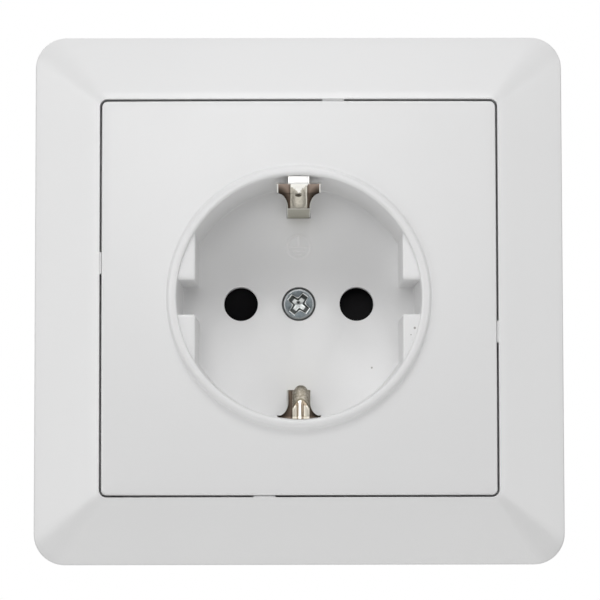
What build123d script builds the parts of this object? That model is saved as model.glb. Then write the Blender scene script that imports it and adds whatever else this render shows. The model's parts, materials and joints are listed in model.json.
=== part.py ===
from build123d import *
import os
from math import cos, radians, sin, tan

# A flush earthed socket outlet with side earth clips, as it hangs on a wall.
# +Z is up, +X is to the right and the front looks along -Y. The origin is in the middle of the
# support ring, on the wall's surface. Heights called *_h are measured out of the wall, so the
# front is positive and what sinks into the wall box is negative. All lengths are millimetres.

os.makedirs("parts", exist_ok=True)

# Fits
running_gap = 0.06  # radial gap of a shaft that turns in its hole
slide_gap = 0.15  # gap each side of a piece that slides in its slot
loose_gap = 0.3  # gap each side of a piece that only passes another

# Cover frame
frame_size = 85.0
frame_corner = 5.0
frame_edge_h = 4.2  # where the sloping front meets the side walls
frame_front_h = 10.0  # the inner edge of the sloping front
frame_round = 0.5
frame_wall = 1.8
frame_top_wall = 2.0
frame_skirt = 1.2
opening_corner = 1.2
ledge_h = 5.8  # seat of the centre plate
ledge_wall = 1.6
ledge_reach = 3.1  # how far the ledge stands into the opening
tab_width = 3.5  # centring tabs in the gap round the plate
tab_offset = 5.5  # from the middle of each side
tab_sink = 0.5  # the tabs end this far below the front
screw_notch = 9.0  # clears a box screw's head under the ledge

# Centre plate
plate_size = 62.8
plate_corner = 0.9
plate_gap = 0.32  # all round, between plate and frame
plate_edge_round = 0.35
plate_wall = 1.9
plate_skirt = 1.5
crown_radius = 1500.0
crown_h = 10.35  # the top of the gently domed face

# Plug well in the centre plate
well_r = 19.45
well_depth = 17.5
well_draft = 1.0  # degrees
rim_h = 11.4
bead_width = 1.9  # from the well's wall out to the bead's foot
bead_crest = 0.75  # from the well's wall out to the bead's crest
bead_hollow = 0.4  # the round at the bead's foot
mouth_round = 0.45
cup_wall = 1.85
floor_wall = 2.2
key_flat = 16.45  # from the axis to the flat side of each key
key_gap = 5.5  # between the upper and the lower key
key_sink = 0.9  # the keys end this far below the rim
key_round = 0.4
pin_spacing = 19.0
pin_hole_r = 2.65
pin_chamfer = 0.2
boss_r = 4.4
head_r = 2.65
head_height = 1.8
head_gap = 0.15
screw_r = 1.5
peg_r = 1.2
peg_z = 11.4
sign_r = 2.07  # moulded earth sign on the floor
sign_z = 9.4
sign_line = 0.22
sign_relief = 0.12

# Earth clips and the bow that joins them under the floor
sheet_t = 0.7
clip_tip_sink = 1.0  # the tip ends this far below the rim
clip_tip_r = 19.05
clip_lip_r = 17.9
clip_lip_sink = 1.5
clip_crease_r = 14.6
clip_crease_sink = 5.2
clip_foot_r = 14.2
clip_bend = 0.9
clip_tip_width = 3.5
clip_wing_width = 7.1
clip_foot_width = 3.8
clip_wing_r = 16.5  # below this radius the wings sweep in
lower_lip_r = 18.8  # the lower clip slants further out before its wings end
lower_lip_sink = 1.4
lower_wing_r = 18.5
tongue_width = 2.6
tongue_top = (17.5, 1.8)  # radius and depth below the rim of the raised tongue's outer end
lower_tongue_top = (18.4, 1.7)
tongue_end = (13.9, 4.3)
bow_disc_r = 4.6
collar_r = 2.4
swage_r = 3.4  # the collar is swaged over behind the body's front half
swage_t = 0.7
slot_wide = 7.4
slot_wide_r = 18.3  # the slots widen from here out, so that the wings can pass

# Shutter behind the pin holes
shutter_t = 1.8
hub_t = 1.0
hub_wall = 2.05
blade_r = 12.8
blade_angle = 19.0  # each side of the pin hole
ramp_rise = 1.5
spring_wire = 0.35
spring_step = 0.3  # how much the spiral grows with each half turn
retainer_t = 1.0
retainer_r = 13.2

# Support ring, on the wall
ring_size = 71.0
ring_corner = 7.0
ring_t = 1.0
box_spacing = 60.0
box_hole_r = 1.9
box_slot_length = 9.0

# Insulating body in the wall box
body_wall = 4.4  # from the cavity to the body's round side
flat_depth = 3.1  # how far each side flat lies inside the round body
flat_width = 13.0
body_depth = 32.0
body_joint_h = -15.0
back_wall = 2.2
back_chamfer = 1.2
chamber_wall = 1.9
chamber_web = 2.0
chamber_half = 7.5
chamber_inner = 5.2
earth_edge = 5.0  # from the body's round side in to the earth chamber
pin_pass_r = 3.1
rivet_r = 1.2
rivet_edge = 2.1  # from the body's edge in to the rivets
rivet_head_r = 2.0
rivet_head_t = 0.6
rivet_length = 6.0
post_xy = 13.8  # the front half's posts, in the corners between the chambers
post_r = 2.7
post_length = 7.0
body_screw_r = 1.2
body_screw_head_r = 2.1
body_screw_head_t = 1.4

# Contacts and push-in terminals
contact_t = 0.8
contact_width = 6.0
contact_mouth = 3.7
contact_grip = 2.7
contact_root = 3.4
contact_lead = 0.6
contact_grip_length = 3.2
bar_half = 5.2
bar_play = 0.1
wire_r = 1.6
wire_spacing = 8.8
wire_to_wall = 2.8  # wire hole's centre from the chamber's outer side
wire_to_bar = 1.6
clamp_t = 0.4
clamp_rest = 0.05  # gap of the resting leaf to the bar
clamp_half = 6.2
clamp_room = 4.3  # from the clamp spring's front end to the body's joint
clamp_low = 2.6
clamp_drop = 2.1  # how far the leaf's tip stays behind the spring's front end
button_width = 3.2
button_t = 1.3
button_proud = 0.8
foot_half = 6.0
foot_height = 1.1
foot_to_wall = 0.75
earth_bar_half = 3.5
earth_bar_z = 12.6
earth_bar_end = 8.8

# Spreading claws
claw_screw_reach = 1.45  # this and the other reaches start at the body's flat
claw_screw_r = 1.25
claw_pivot_reach = 0.5
claw_pivot_h = -17.0
claw_t = 1.0
claw_half = 4.9
claw_arm_reach = 5.3
claw_end_room = 3.0  # the claws end this far short of the body's back
claw_tooth = 0.8
claw_fork_reach = 3.3
knuckle_r = 0.85
nut_half = 2.8
nut_reach = 4.1
nut_t = 2.4
nut_gap = 0.05
claw_head_r = 2.5
claw_head_t = 1.8
claw_screw_end_h = -22.5

# Places that follow from the sizes above
floor_h = rim_h - well_depth
under_floor_h = floor_h - floor_wall
key_h = rim_h - key_sink
opening_size = plate_size + 2 * plate_gap
ledge_size = opening_size - 2 * ledge_reach
skirt_size = opening_size + 2 * frame_skirt
frame_inner = frame_size - 2 * frame_wall
well_floor_r = well_r - well_depth * tan(radians(well_draft))
cup_r = well_r + cup_wall
bead_foot_r = well_r + bead_width
bead_side_r = bead_foot_r - bead_hollow
bead_crest_r = well_r + bead_crest
plate_hole_r = cup_r - cup_wall / 4
bead_foot_h = crown_h - crown_radius + (crown_radius**2 - bead_foot_r**2) ** 0.5 - 0.02
bead_side_h = bead_foot_h + bead_hollow
pin_x = pin_spacing / 2
slot_middle = (clip_foot_r - running_gap + slot_wide_r) / 2
shutter_h = under_floor_h - loose_gap
retainer_h = shutter_h - shutter_t - slide_gap
bow_h = retainer_h - retainer_t - 0.25
screw_end_h = body_joint_h - swage_t - 1.5
ring_hole_r = cup_r + 2 * loose_gap
cavity_r = cup_r + loose_gap
back_inner_h = back_wall - body_depth
body_r = cavity_r + body_wall
body_flat = body_r - flat_depth
earth_outer = body_r - earth_edge
rivet_ring_r = body_r - rivet_edge
chamber_outer = body_flat - chamber_wall
earth_inner = chamber_half + chamber_web
contact_base_h = back_inner_h + contact_t / 2
bar_top_h = body_joint_h - bar_play
wire_x = chamber_outer - wire_to_wall
earth_wire_z = earth_outer - wire_to_wall
clamp_height = body_joint_h - back_inner_h - clamp_room
clamp_high = clamp_height - clamp_drop
claw_screw_x = body_flat + claw_screw_reach
claw_pivot_x = body_flat + claw_pivot_reach
claw_arm_x = body_flat + claw_arm_reach
claw_fork_x = body_flat + claw_fork_reach
claw_end_h = claw_end_room - body_depth
nut_outer_x = body_flat + nut_reach


def wall(h=0.0):
    """The plane h out of the wall, seen from the front: local x is +X and local y is +Z."""
    return Plane.XZ.offset(h)


def side(h, z):
    """A point of a section seen from the side, for a sketch on Plane.YZ."""
    return (-h, z)


def plan(x, h):
    """A point of a section seen from above, for a sketch on Plane.XY."""
    return (x, -h)


def edges_at(piece, h):
    """The edges of a piece that lie in the plane h out of the wall."""
    return piece.edges().filter_by_position(Axis.Y, -h - 0.001, -h + 0.001)


def write(piece, name):
    """Names a finished piece and writes its file."""
    piece.label = name
    export_step(piece, "parts/" + name + ".step")


# Cover frame: a moulded shell with a gently sloping front, a ledge that the centre plate clamps,
# a skirt that stands on the support ring, and four small tabs that centre the plate in its gap.
with BuildPart() as cover_frame:
    with BuildSketch(wall()):
        RectangleRounded(frame_size, frame_size, frame_corner)
    extrude(amount=frame_edge_h)
    with BuildSketch(wall(frame_edge_h)):
        RectangleRounded(frame_size, frame_size, frame_corner)
    with BuildSketch(wall(frame_front_h)):
        RectangleRounded(opening_size, opening_size, opening_corner)
    loft()
    fillet(edges_at(cover_frame, frame_edge_h), radius=frame_round)
    with BuildSketch(wall()):
        RectangleRounded(frame_inner, frame_inner, frame_corner - frame_wall)
    extrude(amount=frame_edge_h - frame_top_wall, mode=Mode.SUBTRACT)
    with BuildSketch(wall(frame_edge_h - frame_top_wall)):
        RectangleRounded(frame_inner, frame_inner, frame_corner - frame_wall)
    with BuildSketch(wall(frame_front_h - frame_top_wall)):
        RectangleRounded(opening_size, opening_size, opening_corner)
    loft(mode=Mode.SUBTRACT)
    with BuildSketch(wall(ring_t)):
        RectangleRounded(skirt_size, skirt_size, opening_corner + frame_skirt)
    extrude(amount=frame_front_h - frame_top_wall - ring_t)
    with BuildSketch(wall()):
        RectangleRounded(opening_size, opening_size, opening_corner)
    extrude(amount=ledge_h - ledge_wall, mode=Mode.SUBTRACT)
    with BuildSketch(wall()):
        RectangleRounded(ledge_size, ledge_size, opening_corner)
    extrude(amount=ledge_h, mode=Mode.SUBTRACT)
    with BuildSketch(wall(ledge_h)):
        RectangleRounded(opening_size, opening_size, opening_corner)
    extrude(amount=frame_front_h, mode=Mode.SUBTRACT)
    with BuildSketch(wall()):
        Rectangle(screw_notch, skirt_size + 1)
        Rectangle(skirt_size + 1, screw_notch)
    extrude(amount=ledge_h - ledge_wall, mode=Mode.SUBTRACT)
    with BuildSketch(wall(ledge_h)):
        with PolarLocations(opening_size / 2 - plate_gap * 0.4, 4):
            with Locations((0, -tab_offset)):
                Rectangle(plate_gap * 0.8, tab_width)
    extrude(amount=frame_front_h - tab_sink - ledge_h)
write(cover_frame.part, "cover_frame")

# Centre plate: a square domed face with the plug well moulded into it. The well has a beaded rim,
# two pairs of keys with a gap for the plug's ribs, the pin holes, a counterbored boss for the
# screw, two T-shaped slots for the earth clips, and two pegs for the shutter's retainer.
with BuildPart() as centre_plate:
    with BuildSketch(wall(ledge_h)):
        RectangleRounded(plate_size, plate_size, plate_corner)
        Circle(plate_hole_r, mode=Mode.SUBTRACT)
    extrude(amount=crown_h - ledge_h)
    with Locations((0, crown_radius - crown_h, 0)):
        Sphere(crown_radius, mode=Mode.INTERSECT)
    face_rim = centre_plate.faces().sort_by(Axis.Y)[0].outer_wire().edges()
    fillet(face_rim, radius=plate_edge_round)
    with BuildSketch(wall(ledge_h)):
        RectangleRounded(plate_size - 2 * plate_skirt, plate_size - 2 * plate_skirt, plate_corner)
    extrude(amount=crown_h - plate_wall - ledge_h, mode=Mode.SUBTRACT)
    with BuildSketch(wall(floor_h - floor_wall / 2)):
        Circle(well_r + cup_wall / 2)
        Rectangle(2 * key_flat, 3 * well_r, mode=Mode.SUBTRACT)
        Rectangle(3 * well_r, key_gap, mode=Mode.SUBTRACT)
    extrude(amount=key_h - floor_h + floor_wall / 2)
    fillet(edges_at(centre_plate, key_h).filter_by(GeomType.LINE), radius=key_round)
    with BuildSketch(Plane.XY):
        with BuildLine():
            Polyline(
                plan(bead_crest_r, rim_h),
                plan(well_r, rim_h),
                plan(well_floor_r, floor_h),
                plan(0, floor_h),
                plan(0, under_floor_h),
                plan(cup_r, under_floor_h),
                plan(cup_r, crown_h - plate_wall),
                plan(bead_foot_r, crown_h - plate_wall),
                plan(bead_foot_r, bead_foot_h),
            )
            RadiusArc(plan(bead_foot_r, bead_foot_h), plan(bead_side_r, bead_side_h), -bead_hollow)
            bead_size = (bead_side_r - bead_crest_r, rim_h - bead_side_h)
            EllipticalCenterArc(plan(bead_crest_r, bead_side_h), *bead_size, 270, arc_size=90)
        make_face()
        fillet(vertices().sort_by_distance(plan(well_r, rim_h) + (0,))[0], radius=mouth_round)
    revolve(axis=Axis.Y)
    with BuildSketch(wall(under_floor_h)):
        Circle(boss_r)
    extrude(amount=retainer_h - retainer_t - under_floor_h)
    with BuildSketch(wall(under_floor_h)):
        with Locations((0, peg_z), (0, -peg_z)):
            Circle(peg_r)
    extrude(amount=retainer_h - retainer_t - under_floor_h)
    with BuildSketch(wall(floor_h)):
        Circle(head_r + head_gap)
    extrude(amount=-head_height - head_gap, mode=Mode.SUBTRACT)
    with BuildSketch(wall(floor_h)):
        Circle(screw_r + slide_gap)
    extrude(amount=-well_depth, mode=Mode.SUBTRACT)
    with BuildSketch(wall(floor_h)):
        with Locations((pin_x, 0), (-pin_x, 0)):
            Circle(pin_hole_r)
    extrude(amount=-floor_wall, mode=Mode.SUBTRACT)
    round_edges = edges_at(centre_plate, floor_h).filter_by(GeomType.CIRCLE)
    pin_mouths = [edge for edge in round_edges if abs(edge.radius - pin_hole_r) < 0.01]
    chamfer(pin_mouths, length=pin_chamfer)
    with BuildSketch(wall(floor_h)):
        with Locations((0, slot_middle), (0, -slot_middle)):
            Rectangle(clip_foot_width + 2 * running_gap, slot_wide_r - clip_foot_r + running_gap)
        with Locations((0, (well_r + slot_wide_r) / 2), (0, -(well_r + slot_wide_r) / 2)):
            Rectangle(slot_wide, well_r - slot_wide_r)
    extrude(amount=-floor_wall, mode=Mode.SUBTRACT)
    with BuildSketch(wall(floor_h)):
        with Locations((0, sign_z)):
            Circle(sign_r)
            Circle(sign_r - sign_line, mode=Mode.SUBTRACT)
        with Locations((0, sign_z + sign_r / 2)):
            Rectangle(sign_line, sign_r)
        for step in range(3):
            with Locations((0, sign_z - step * sign_r / 3)):
                Rectangle(sign_r * (1.5 - 0.45 * step), sign_line)
    extrude(amount=sign_relief)
write(centre_plate.part, "centre_plate")

# Centre screw: a pan head with a cross recess, sunk level with the well's floor.
with BuildPart() as centre_screw:
    with BuildSketch(wall(floor_h - head_height)):
        Circle(head_r)
    extrude(amount=head_height - head_gap)
    fillet(centre_screw.edges().sort_by(Axis.Y)[0], radius=0.4)
    with BuildSketch(wall(floor_h - head_height)):
        Circle(screw_r)
    extrude(amount=screw_end_h - floor_h + head_height)
    with BuildSketch(wall(floor_h)):
        Rectangle(3.4, 0.9, rotation=52)
        Rectangle(0.9, 3.4, rotation=52)
        Circle(0.95)
    extrude(amount=-1.2, taper=8, mode=Mode.SUBTRACT)
write(centre_screw.part, "centre_screw")

# Support ring: a flat galvanised plate with the two box screw holes, two slots, and the holes of
# the rivets and the claw screws.
rivet_xy = rivet_ring_r * cos(radians(45))
with BuildPart() as support_ring:
    with BuildSketch(wall()):
        RectangleRounded(ring_size, ring_size, ring_corner)
        Circle(ring_hole_r, mode=Mode.SUBTRACT)
        with Locations((0, box_spacing / 2), (0, -box_spacing / 2)):
            Circle(box_hole_r, mode=Mode.SUBTRACT)
        with Locations((box_spacing / 2, 0), (-box_spacing / 2, 0)):
            SlotOverall(box_slot_length, 2 * box_hole_r, rotation=90, mode=Mode.SUBTRACT)
        with Locations((claw_screw_x, 0), (-claw_screw_x, 0)):
            Circle(claw_screw_r + running_gap, mode=Mode.SUBTRACT)
        with GridLocations(2 * rivet_xy, 2 * rivet_xy, 2, 2):
            Circle(rivet_r, mode=Mode.SUBTRACT)
    extrude(amount=ring_t)
write(support_ring.part, "support_ring")


def body_outline():
    """The body's round section with a flat recess on each side for the claws."""
    Circle(body_r)
    with Locations((body_flat + body_r / 2, 0), (-body_flat - body_r / 2, 0)):
        Rectangle(body_r, flat_width, mode=Mode.SUBTRACT)


# Front half of the body: a cup that the well drops into, with a floor that carries the bow.
with BuildPart() as body_front:
    with BuildSketch(wall(body_joint_h)):
        body_outline()
    extrude(amount=-body_joint_h)
    with BuildSketch(wall(bow_h)):
        Circle(cavity_r)
    extrude(amount=-bow_h, mode=Mode.SUBTRACT)
    with BuildSketch(wall(bow_h)):
        Rectangle(clip_foot_width + 2 * loose_gap, 2 * clip_foot_r + 2 * sheet_t + 2 * loose_gap)
        Circle(bow_disc_r + loose_gap)
    extrude(amount=-sheet_t, mode=Mode.SUBTRACT)
    with BuildSketch(wall(bow_h - sheet_t)):
        with Locations((0, (earth_bar_end + earth_bar_z) / 2 + contact_t / 4)):
            Rectangle(
                2 * (earth_bar_half + slide_gap),
                earth_bar_z - earth_bar_end + contact_t + 2 * slide_gap,
            )
    extrude(amount=-contact_t, mode=Mode.SUBTRACT)
    with BuildSketch(wall(bow_h)):
        with Locations((0, earth_bar_z)):
            Rectangle(2 * (earth_bar_half + slide_gap), contact_t + 2 * slide_gap)
        with Locations((pin_x, 0), (-pin_x, 0)):
            Circle(pin_pass_r)
        Circle(collar_r + running_gap)
    extrude(amount=body_joint_h - bow_h, mode=Mode.SUBTRACT)
    with BuildSketch(wall()):
        with GridLocations(2 * rivet_xy, 2 * rivet_xy, 2, 2):
            Circle(rivet_r)
    extrude(amount=-rivet_length, mode=Mode.SUBTRACT)
    with BuildSketch(wall(body_joint_h)):
        with GridLocations(2 * post_xy, 2 * post_xy, 2, 2):
            Circle(post_r)
    extrude(amount=-post_length)
    with BuildSketch(wall(body_joint_h - post_length)):
        with GridLocations(2 * post_xy, 2 * post_xy, 2, 2):
            Circle(body_screw_r)
    extrude(amount=post_length + 1, mode=Mode.SUBTRACT)
write(body_front.part, "body_front")

# Rear half of the body: one chamber for each pole and one for earth, wire entries and release
# buttons in its back, and a groove on each flat that the claw's knuckle turns in.
with BuildPart() as body_rear:
    with BuildSketch(wall(-body_depth)):
        body_outline()
    extrude(amount=body_depth + body_joint_h)
    chamfer(body_rear.edges().group_by(Axis.Y)[-1], length=back_chamfer)
    with BuildSketch(wall(back_inner_h)):
        with Locations(
            ((chamber_outer + chamber_inner) / 2, 0),
            (-(chamber_outer + chamber_inner) / 2, 0),
        ):
            Rectangle(chamber_outer - chamber_inner, 2 * chamber_half)
        with Locations(
            (0, (earth_outer + earth_inner) / 2),
            (0, -(earth_outer + earth_inner) / 2),
        ):
            Rectangle(2 * chamber_half, earth_outer - earth_inner)
    extrude(amount=body_joint_h - back_inner_h, mode=Mode.SUBTRACT)
    with BuildSketch(wall(back_inner_h)):
        with Locations((wire_x, 0), (-wire_x, 0)):
            with GridLocations(0, wire_spacing, 1, 2):
                Circle(wire_r)
        with Locations((0, earth_wire_z)):
            with GridLocations(wire_spacing, 0, 2, 1):
                Circle(wire_r)
    extrude(amount=-back_wall, mode=Mode.SUBTRACT)
    button_at = chamber_outer - foot_to_wall - button_t / 2
    earth_button_at = earth_outer - foot_to_wall - button_t / 2
    with BuildSketch(wall(back_inner_h)):
        with Locations((button_at, 0), (-button_at, 0)):
            Rectangle(button_t + 2 * slide_gap, button_width + 2 * slide_gap)
        with Locations((0, earth_button_at)):
            Rectangle(button_width + 2 * slide_gap, button_t + 2 * slide_gap)
    extrude(amount=-back_wall, mode=Mode.SUBTRACT)
    with BuildSketch(Plane.XY.offset(-flat_width / 2)):
        with Locations(plan(claw_pivot_x, claw_pivot_h), plan(-claw_pivot_x, claw_pivot_h)):
            Circle(knuckle_r + running_gap)
    extrude(amount=flat_width, mode=Mode.SUBTRACT)
    with BuildSketch(wall(body_joint_h)):
        with GridLocations(2 * post_xy, 2 * post_xy, 2, 2):
            Circle(post_r + running_gap)
    extrude(amount=-post_length - slide_gap, mode=Mode.SUBTRACT)
    with BuildSketch(wall(body_joint_h)):
        with GridLocations(2 * post_xy, 2 * post_xy, 2, 2):
            Circle(body_screw_r + slide_gap)
    extrude(amount=-body_depth, mode=Mode.SUBTRACT)
    with BuildSketch(wall(-body_depth)):
        with GridLocations(2 * post_xy, 2 * post_xy, 2, 2):
            Circle(body_screw_head_r + slide_gap)
    extrude(amount=body_screw_head_t, mode=Mode.SUBTRACT)
    with BuildSketch(wall(body_joint_h)):
        Circle(swage_r + running_gap)
    extrude(amount=screw_end_h - body_joint_h - loose_gap, mode=Mode.SUBTRACT)
write(body_rear.part, "body_rear")

# Rivets that hold the support ring on the body.
with BuildPart() as ring_rivets:
    with BuildSketch(wall(ring_t)):
        with GridLocations(2 * rivet_xy, 2 * rivet_xy, 2, 2):
            Circle(rivet_head_r)
    extrude(amount=rivet_head_t)
    fillet(ring_rivets.edges().group_by(Axis.Y)[0], radius=rivet_head_t / 2)
    with BuildSketch(wall(ring_t)):
        with GridLocations(2 * rivet_xy, 2 * rivet_xy, 2, 2):
            Circle(rivet_r)
    extrude(amount=-rivet_length)
write(ring_rivets.part, "ring_rivets")

# Screws that close the body from behind.
with BuildPart() as body_screws:
    with BuildSketch(wall(-body_depth)):
        with GridLocations(2 * post_xy, 2 * post_xy, 2, 2):
            Circle(body_screw_head_r)
    extrude(amount=body_screw_head_t)
    with BuildSketch(wall(-body_depth)):
        with GridLocations(2 * post_xy, 2 * post_xy, 2, 2):
            Circle(body_screw_r)
    extrude(amount=body_depth + body_joint_h + 0.5)
    with BuildSketch(wall(-body_depth)):
        with GridLocations(2 * post_xy, 2 * post_xy, 2, 2):
            Rectangle(3.0, 0.6, rotation=90)
            Rectangle(3.0, 0.6)
    extrude(amount=0.7, mode=Mode.SUBTRACT)
write(body_screws.part, "body_screws")

# Earth bow: one folded strip. Each end stands up through the well's floor, creases inwards where
# it meets the plug, and opens in two wings and a turned-out tip at the mouth.
with BuildPart() as earth_bow:
    half_t = sheet_t / 2
    ends = (
        (1, clip_lip_r, clip_lip_sink, clip_wing_r, tongue_top),
        (-1, lower_lip_r, lower_lip_sink, lower_wing_r, lower_tongue_top),
    )
    for way, lip_r, lip_sink, wing_r, tongue_start in ends:
        with BuildSketch(Plane.YZ.offset(-clip_wing_width / 2)):
            with BuildLine() as clip_line:
                FilletPolyline(
                    side(bow_h - half_t, 0),
                    side(bow_h - half_t, way * (clip_foot_r + half_t)),
                    side(floor_h, way * (clip_foot_r + half_t)),
                    side(rim_h - clip_crease_sink, way * (clip_crease_r + half_t)),
                    side(rim_h - lip_sink - half_t, way * lip_r),
                    side(rim_h - clip_tip_sink - half_t, way * clip_tip_r),
                    radius=[clip_bend, 4 * clip_bend, clip_bend, 0.6 * clip_bend],
                )
            trace(clip_line.edges(), sheet_t)
        extrude(amount=clip_wing_width)
    with BuildSketch(wall(bow_h - 2 * sheet_t)):
        Circle(bow_disc_r)
        for way, lip_r, lip_sink, wing_r, tongue_start in ends:
            with BuildLine():
                wing = clip_wing_width / 2
                tip = clip_tip_width / 2
                foot = clip_foot_width / 2
                turn = wing - foot
                outline = Polyline(
                    (0, 0),
                    (foot, 0),
                    (foot, way * (wing_r - turn)),
                )
                sweep_in = RadiusArc(
                    (foot, way * (wing_r - turn)), (wing, way * wing_r), way * turn
                )
                Polyline(
                    (wing, way * wing_r),
                    (wing, way * lip_r),
                    (tip, way * lip_r),
                    (tip, way * (clip_tip_r + 1)),
                    (0, way * (clip_tip_r + 1)),
                    (0, 0),
                )
            make_face()
        mirror(about=Plane.YZ)
    extrude(amount=rim_h - bow_h + 2 * sheet_t, mode=Mode.INTERSECT)
    with BuildSketch(wall(bow_h - sheet_t)):
        Circle(bow_disc_r)
    extrude(amount=sheet_t)
    with BuildSketch(wall(bow_h - sheet_t)):
        Circle(collar_r)
    extrude(amount=body_joint_h - bow_h + sheet_t)
    with BuildSketch(wall(body_joint_h)):
        Circle(swage_r)
    extrude(amount=-swage_t)
    with BuildSketch(wall(bow_h)):
        Circle(screw_r + running_gap)
    extrude(amount=body_joint_h - swage_t - bow_h, mode=Mode.SUBTRACT)
    for way, lip_r, lip_sink, wing_r, tongue_start in ends:
        with BuildSketch(Plane.YZ.offset(-tongue_width / 2)):
            with BuildLine():
                Polyline(
                    side(rim_h - tongue_start[1], way * tongue_start[0]),
                    side(rim_h - tongue_end[1], way * tongue_end[0]),
                    side(rim_h - tongue_end[1] - 0.4, way * (tongue_end[0] - 0.05)),
                    side(rim_h - clip_crease_sink - 0.1, way * (clip_crease_r + 0.1)),
                    side(rim_h - clip_crease_sink, way * (clip_crease_r + half_t)),
                    side(rim_h - lip_sink - half_t, way * (lip_r - 0.1)),
                    close=True,
                )
            make_face()
        extrude(amount=tongue_width)
write(earth_bow.part, "earth_bow")

# Shutter: a small rotor on the well's boss. Each blade hides a pin hole behind a ramp, and the
# two pins together push the ramps aside.
hub_r = boss_r + hub_wall
with BuildPart() as shutter:
    with BuildSketch(wall(shutter_h - shutter_t)):
        Circle(blade_r)
        with BuildLine(mode=Mode.PRIVATE) as between:
            reach = 2 * blade_r
            spread = radians(blade_angle)
            Polyline(
                (0, 0),
                (reach * cos(spread), reach * sin(spread)),
                (0, reach),
                (-reach * cos(spread), reach * sin(spread)),
                close=True,
            )
        make_face(between.edges(), mode=Mode.SUBTRACT)
        mirrored = mirror(between.line, about=Plane.XZ, mode=Mode.PRIVATE)
        make_face(mirrored.edges(), mode=Mode.SUBTRACT)
        Circle(hub_r)
    extrude(amount=shutter_t)
    with BuildSketch(wall(shutter_h - shutter_t)):
        Circle(hub_r)
    extrude(amount=shutter_t - hub_t, mode=Mode.SUBTRACT)
    with BuildSketch(wall(shutter_h)):
        Circle(boss_r + running_gap)
    extrude(amount=-shutter_t, mode=Mode.SUBTRACT)
    for way in (1, -1):
        ramp_half = blade_r * sin(spread) + 0.1
        with BuildSketch(Plane.YZ.offset(way * hub_r)):
            with BuildLine():
                Polyline(
                    side(shutter_h + 0.1, -way * ramp_half),
                    side(shutter_h - ramp_rise, way * ramp_half),
                    side(shutter_h + 0.1, way * ramp_half),
                    close=True,
                )
            make_face()
        extrude(amount=way * blade_r, mode=Mode.SUBTRACT)
write(shutter.part, "shutter")

# Spiral spring that turns the shutter back, round the boss in the hub's rear recess.
with BuildPart() as shutter_spring:
    spring_r = boss_r + slide_gap + spring_wire
    with BuildSketch(wall(retainer_h + slide_gap)):
        with BuildLine() as spiral:
            CenterArc((0, 0), spring_r, 0, 180)
            CenterArc((spring_step, 0), spring_r + spring_step, 180, 180)
            CenterArc((0, 0), spring_r + 2 * spring_step, 0, 90)
            Line((0, spring_r + 2 * spring_step), (-1.5, spring_r + 2 * spring_step))
        trace(spiral.edges(), spring_wire)
    extrude(amount=spring_wire)
write(shutter_spring.part, "shutter_spring")

# Retainer: a thin disc on the two pegs, which holds the shutter under the well's floor.
with BuildPart() as shutter_retainer:
    with BuildSketch(wall(retainer_h)):
        Circle(retainer_r)
        Circle(boss_r + running_gap, mode=Mode.SUBTRACT)
        with Locations((0, peg_z), (0, -peg_z)):
            Circle(peg_r + running_gap, mode=Mode.SUBTRACT)
        with Locations((pin_x, 0), (-pin_x, 0)):
            Circle(pin_pass_r, mode=Mode.SUBTRACT)
    extrude(amount=-retainer_t)
write(shutter_retainer.part, "shutter_retainer")


def pole_contact(way, name):
    """A pin contact with its terminal bar, folded from one strip; way is 1 right and -1 left."""
    grip_h = body_joint_h - contact_lead
    with BuildPart() as contact:
        with BuildSketch(Plane.YZ.offset(way * pin_x - contact_width / 2)):
            with BuildLine() as grip:
                FilletPolyline(
                    side(grip_h, contact_mouth),
                    side(grip_h - contact_grip_length, contact_grip),
                    side(contact_base_h, contact_root),
                    side(contact_base_h, -contact_root),
                    side(grip_h - contact_grip_length, -contact_grip),
                    side(grip_h, -contact_mouth),
                    radius=[1.5, 1.0, 1.0, 1.5],
                )
            trace(grip.edges(), contact_t)
        extrude(amount=contact_width)
        with BuildSketch(Plane.XY.offset(-bar_half)):
            with BuildLine() as bar:
                bar_x = wire_x - wire_to_bar - contact_t / 2
                FilletPolyline(
                    plan(way * pin_x, contact_base_h),
                    plan(way * bar_x, contact_base_h),
                    plan(way * bar_x, bar_top_h),
                    radius=1.0,
                )
            trace(bar.edges(), contact_t)
        extrude(amount=2 * bar_half)
    write(contact.part, name)


pole_contact(-1, "left_contact")
pole_contact(1, "right_contact")

# Earth terminal bar: lies under the bow and folds back into the earth chamber.
with BuildPart() as earth_bar:
    with BuildSketch(Plane.YZ.offset(-earth_bar_half)):
        with BuildLine() as bar:
            bar_z = earth_wire_z - wire_to_bar - contact_t / 2
            FilletPolyline(
                side(bow_h - sheet_t - contact_t / 2, earth_bar_end),
                side(bow_h - sheet_t - contact_t / 2, earth_bar_z),
                side(contact_base_h, earth_bar_z),
                side(contact_base_h, bar_z),
                side(bar_top_h, bar_z),
                radius=contact_t / 2 + 0.1,
            )
        trace(bar.edges(), contact_t)
    extrude(amount=2 * earth_bar_half)
write(earth_bar.part, "earth_bar")


def terminal_plane(x, z, inwards):
    """A terminal's own plane: local x runs from the outer side to the bar, local z to the front."""
    return Plane(origin=(x, -back_inner_h, z), x_dir=inwards, z_dir=(0, -1, 0))


terminals = {
    "left": terminal_plane(-chamber_outer, 0, (1, 0, 0)),
    "right": terminal_plane(chamber_outer, 0, (-1, 0, 0)),
    "earth": terminal_plane(0, earth_outer, (0, 0, -1)),
}

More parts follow.
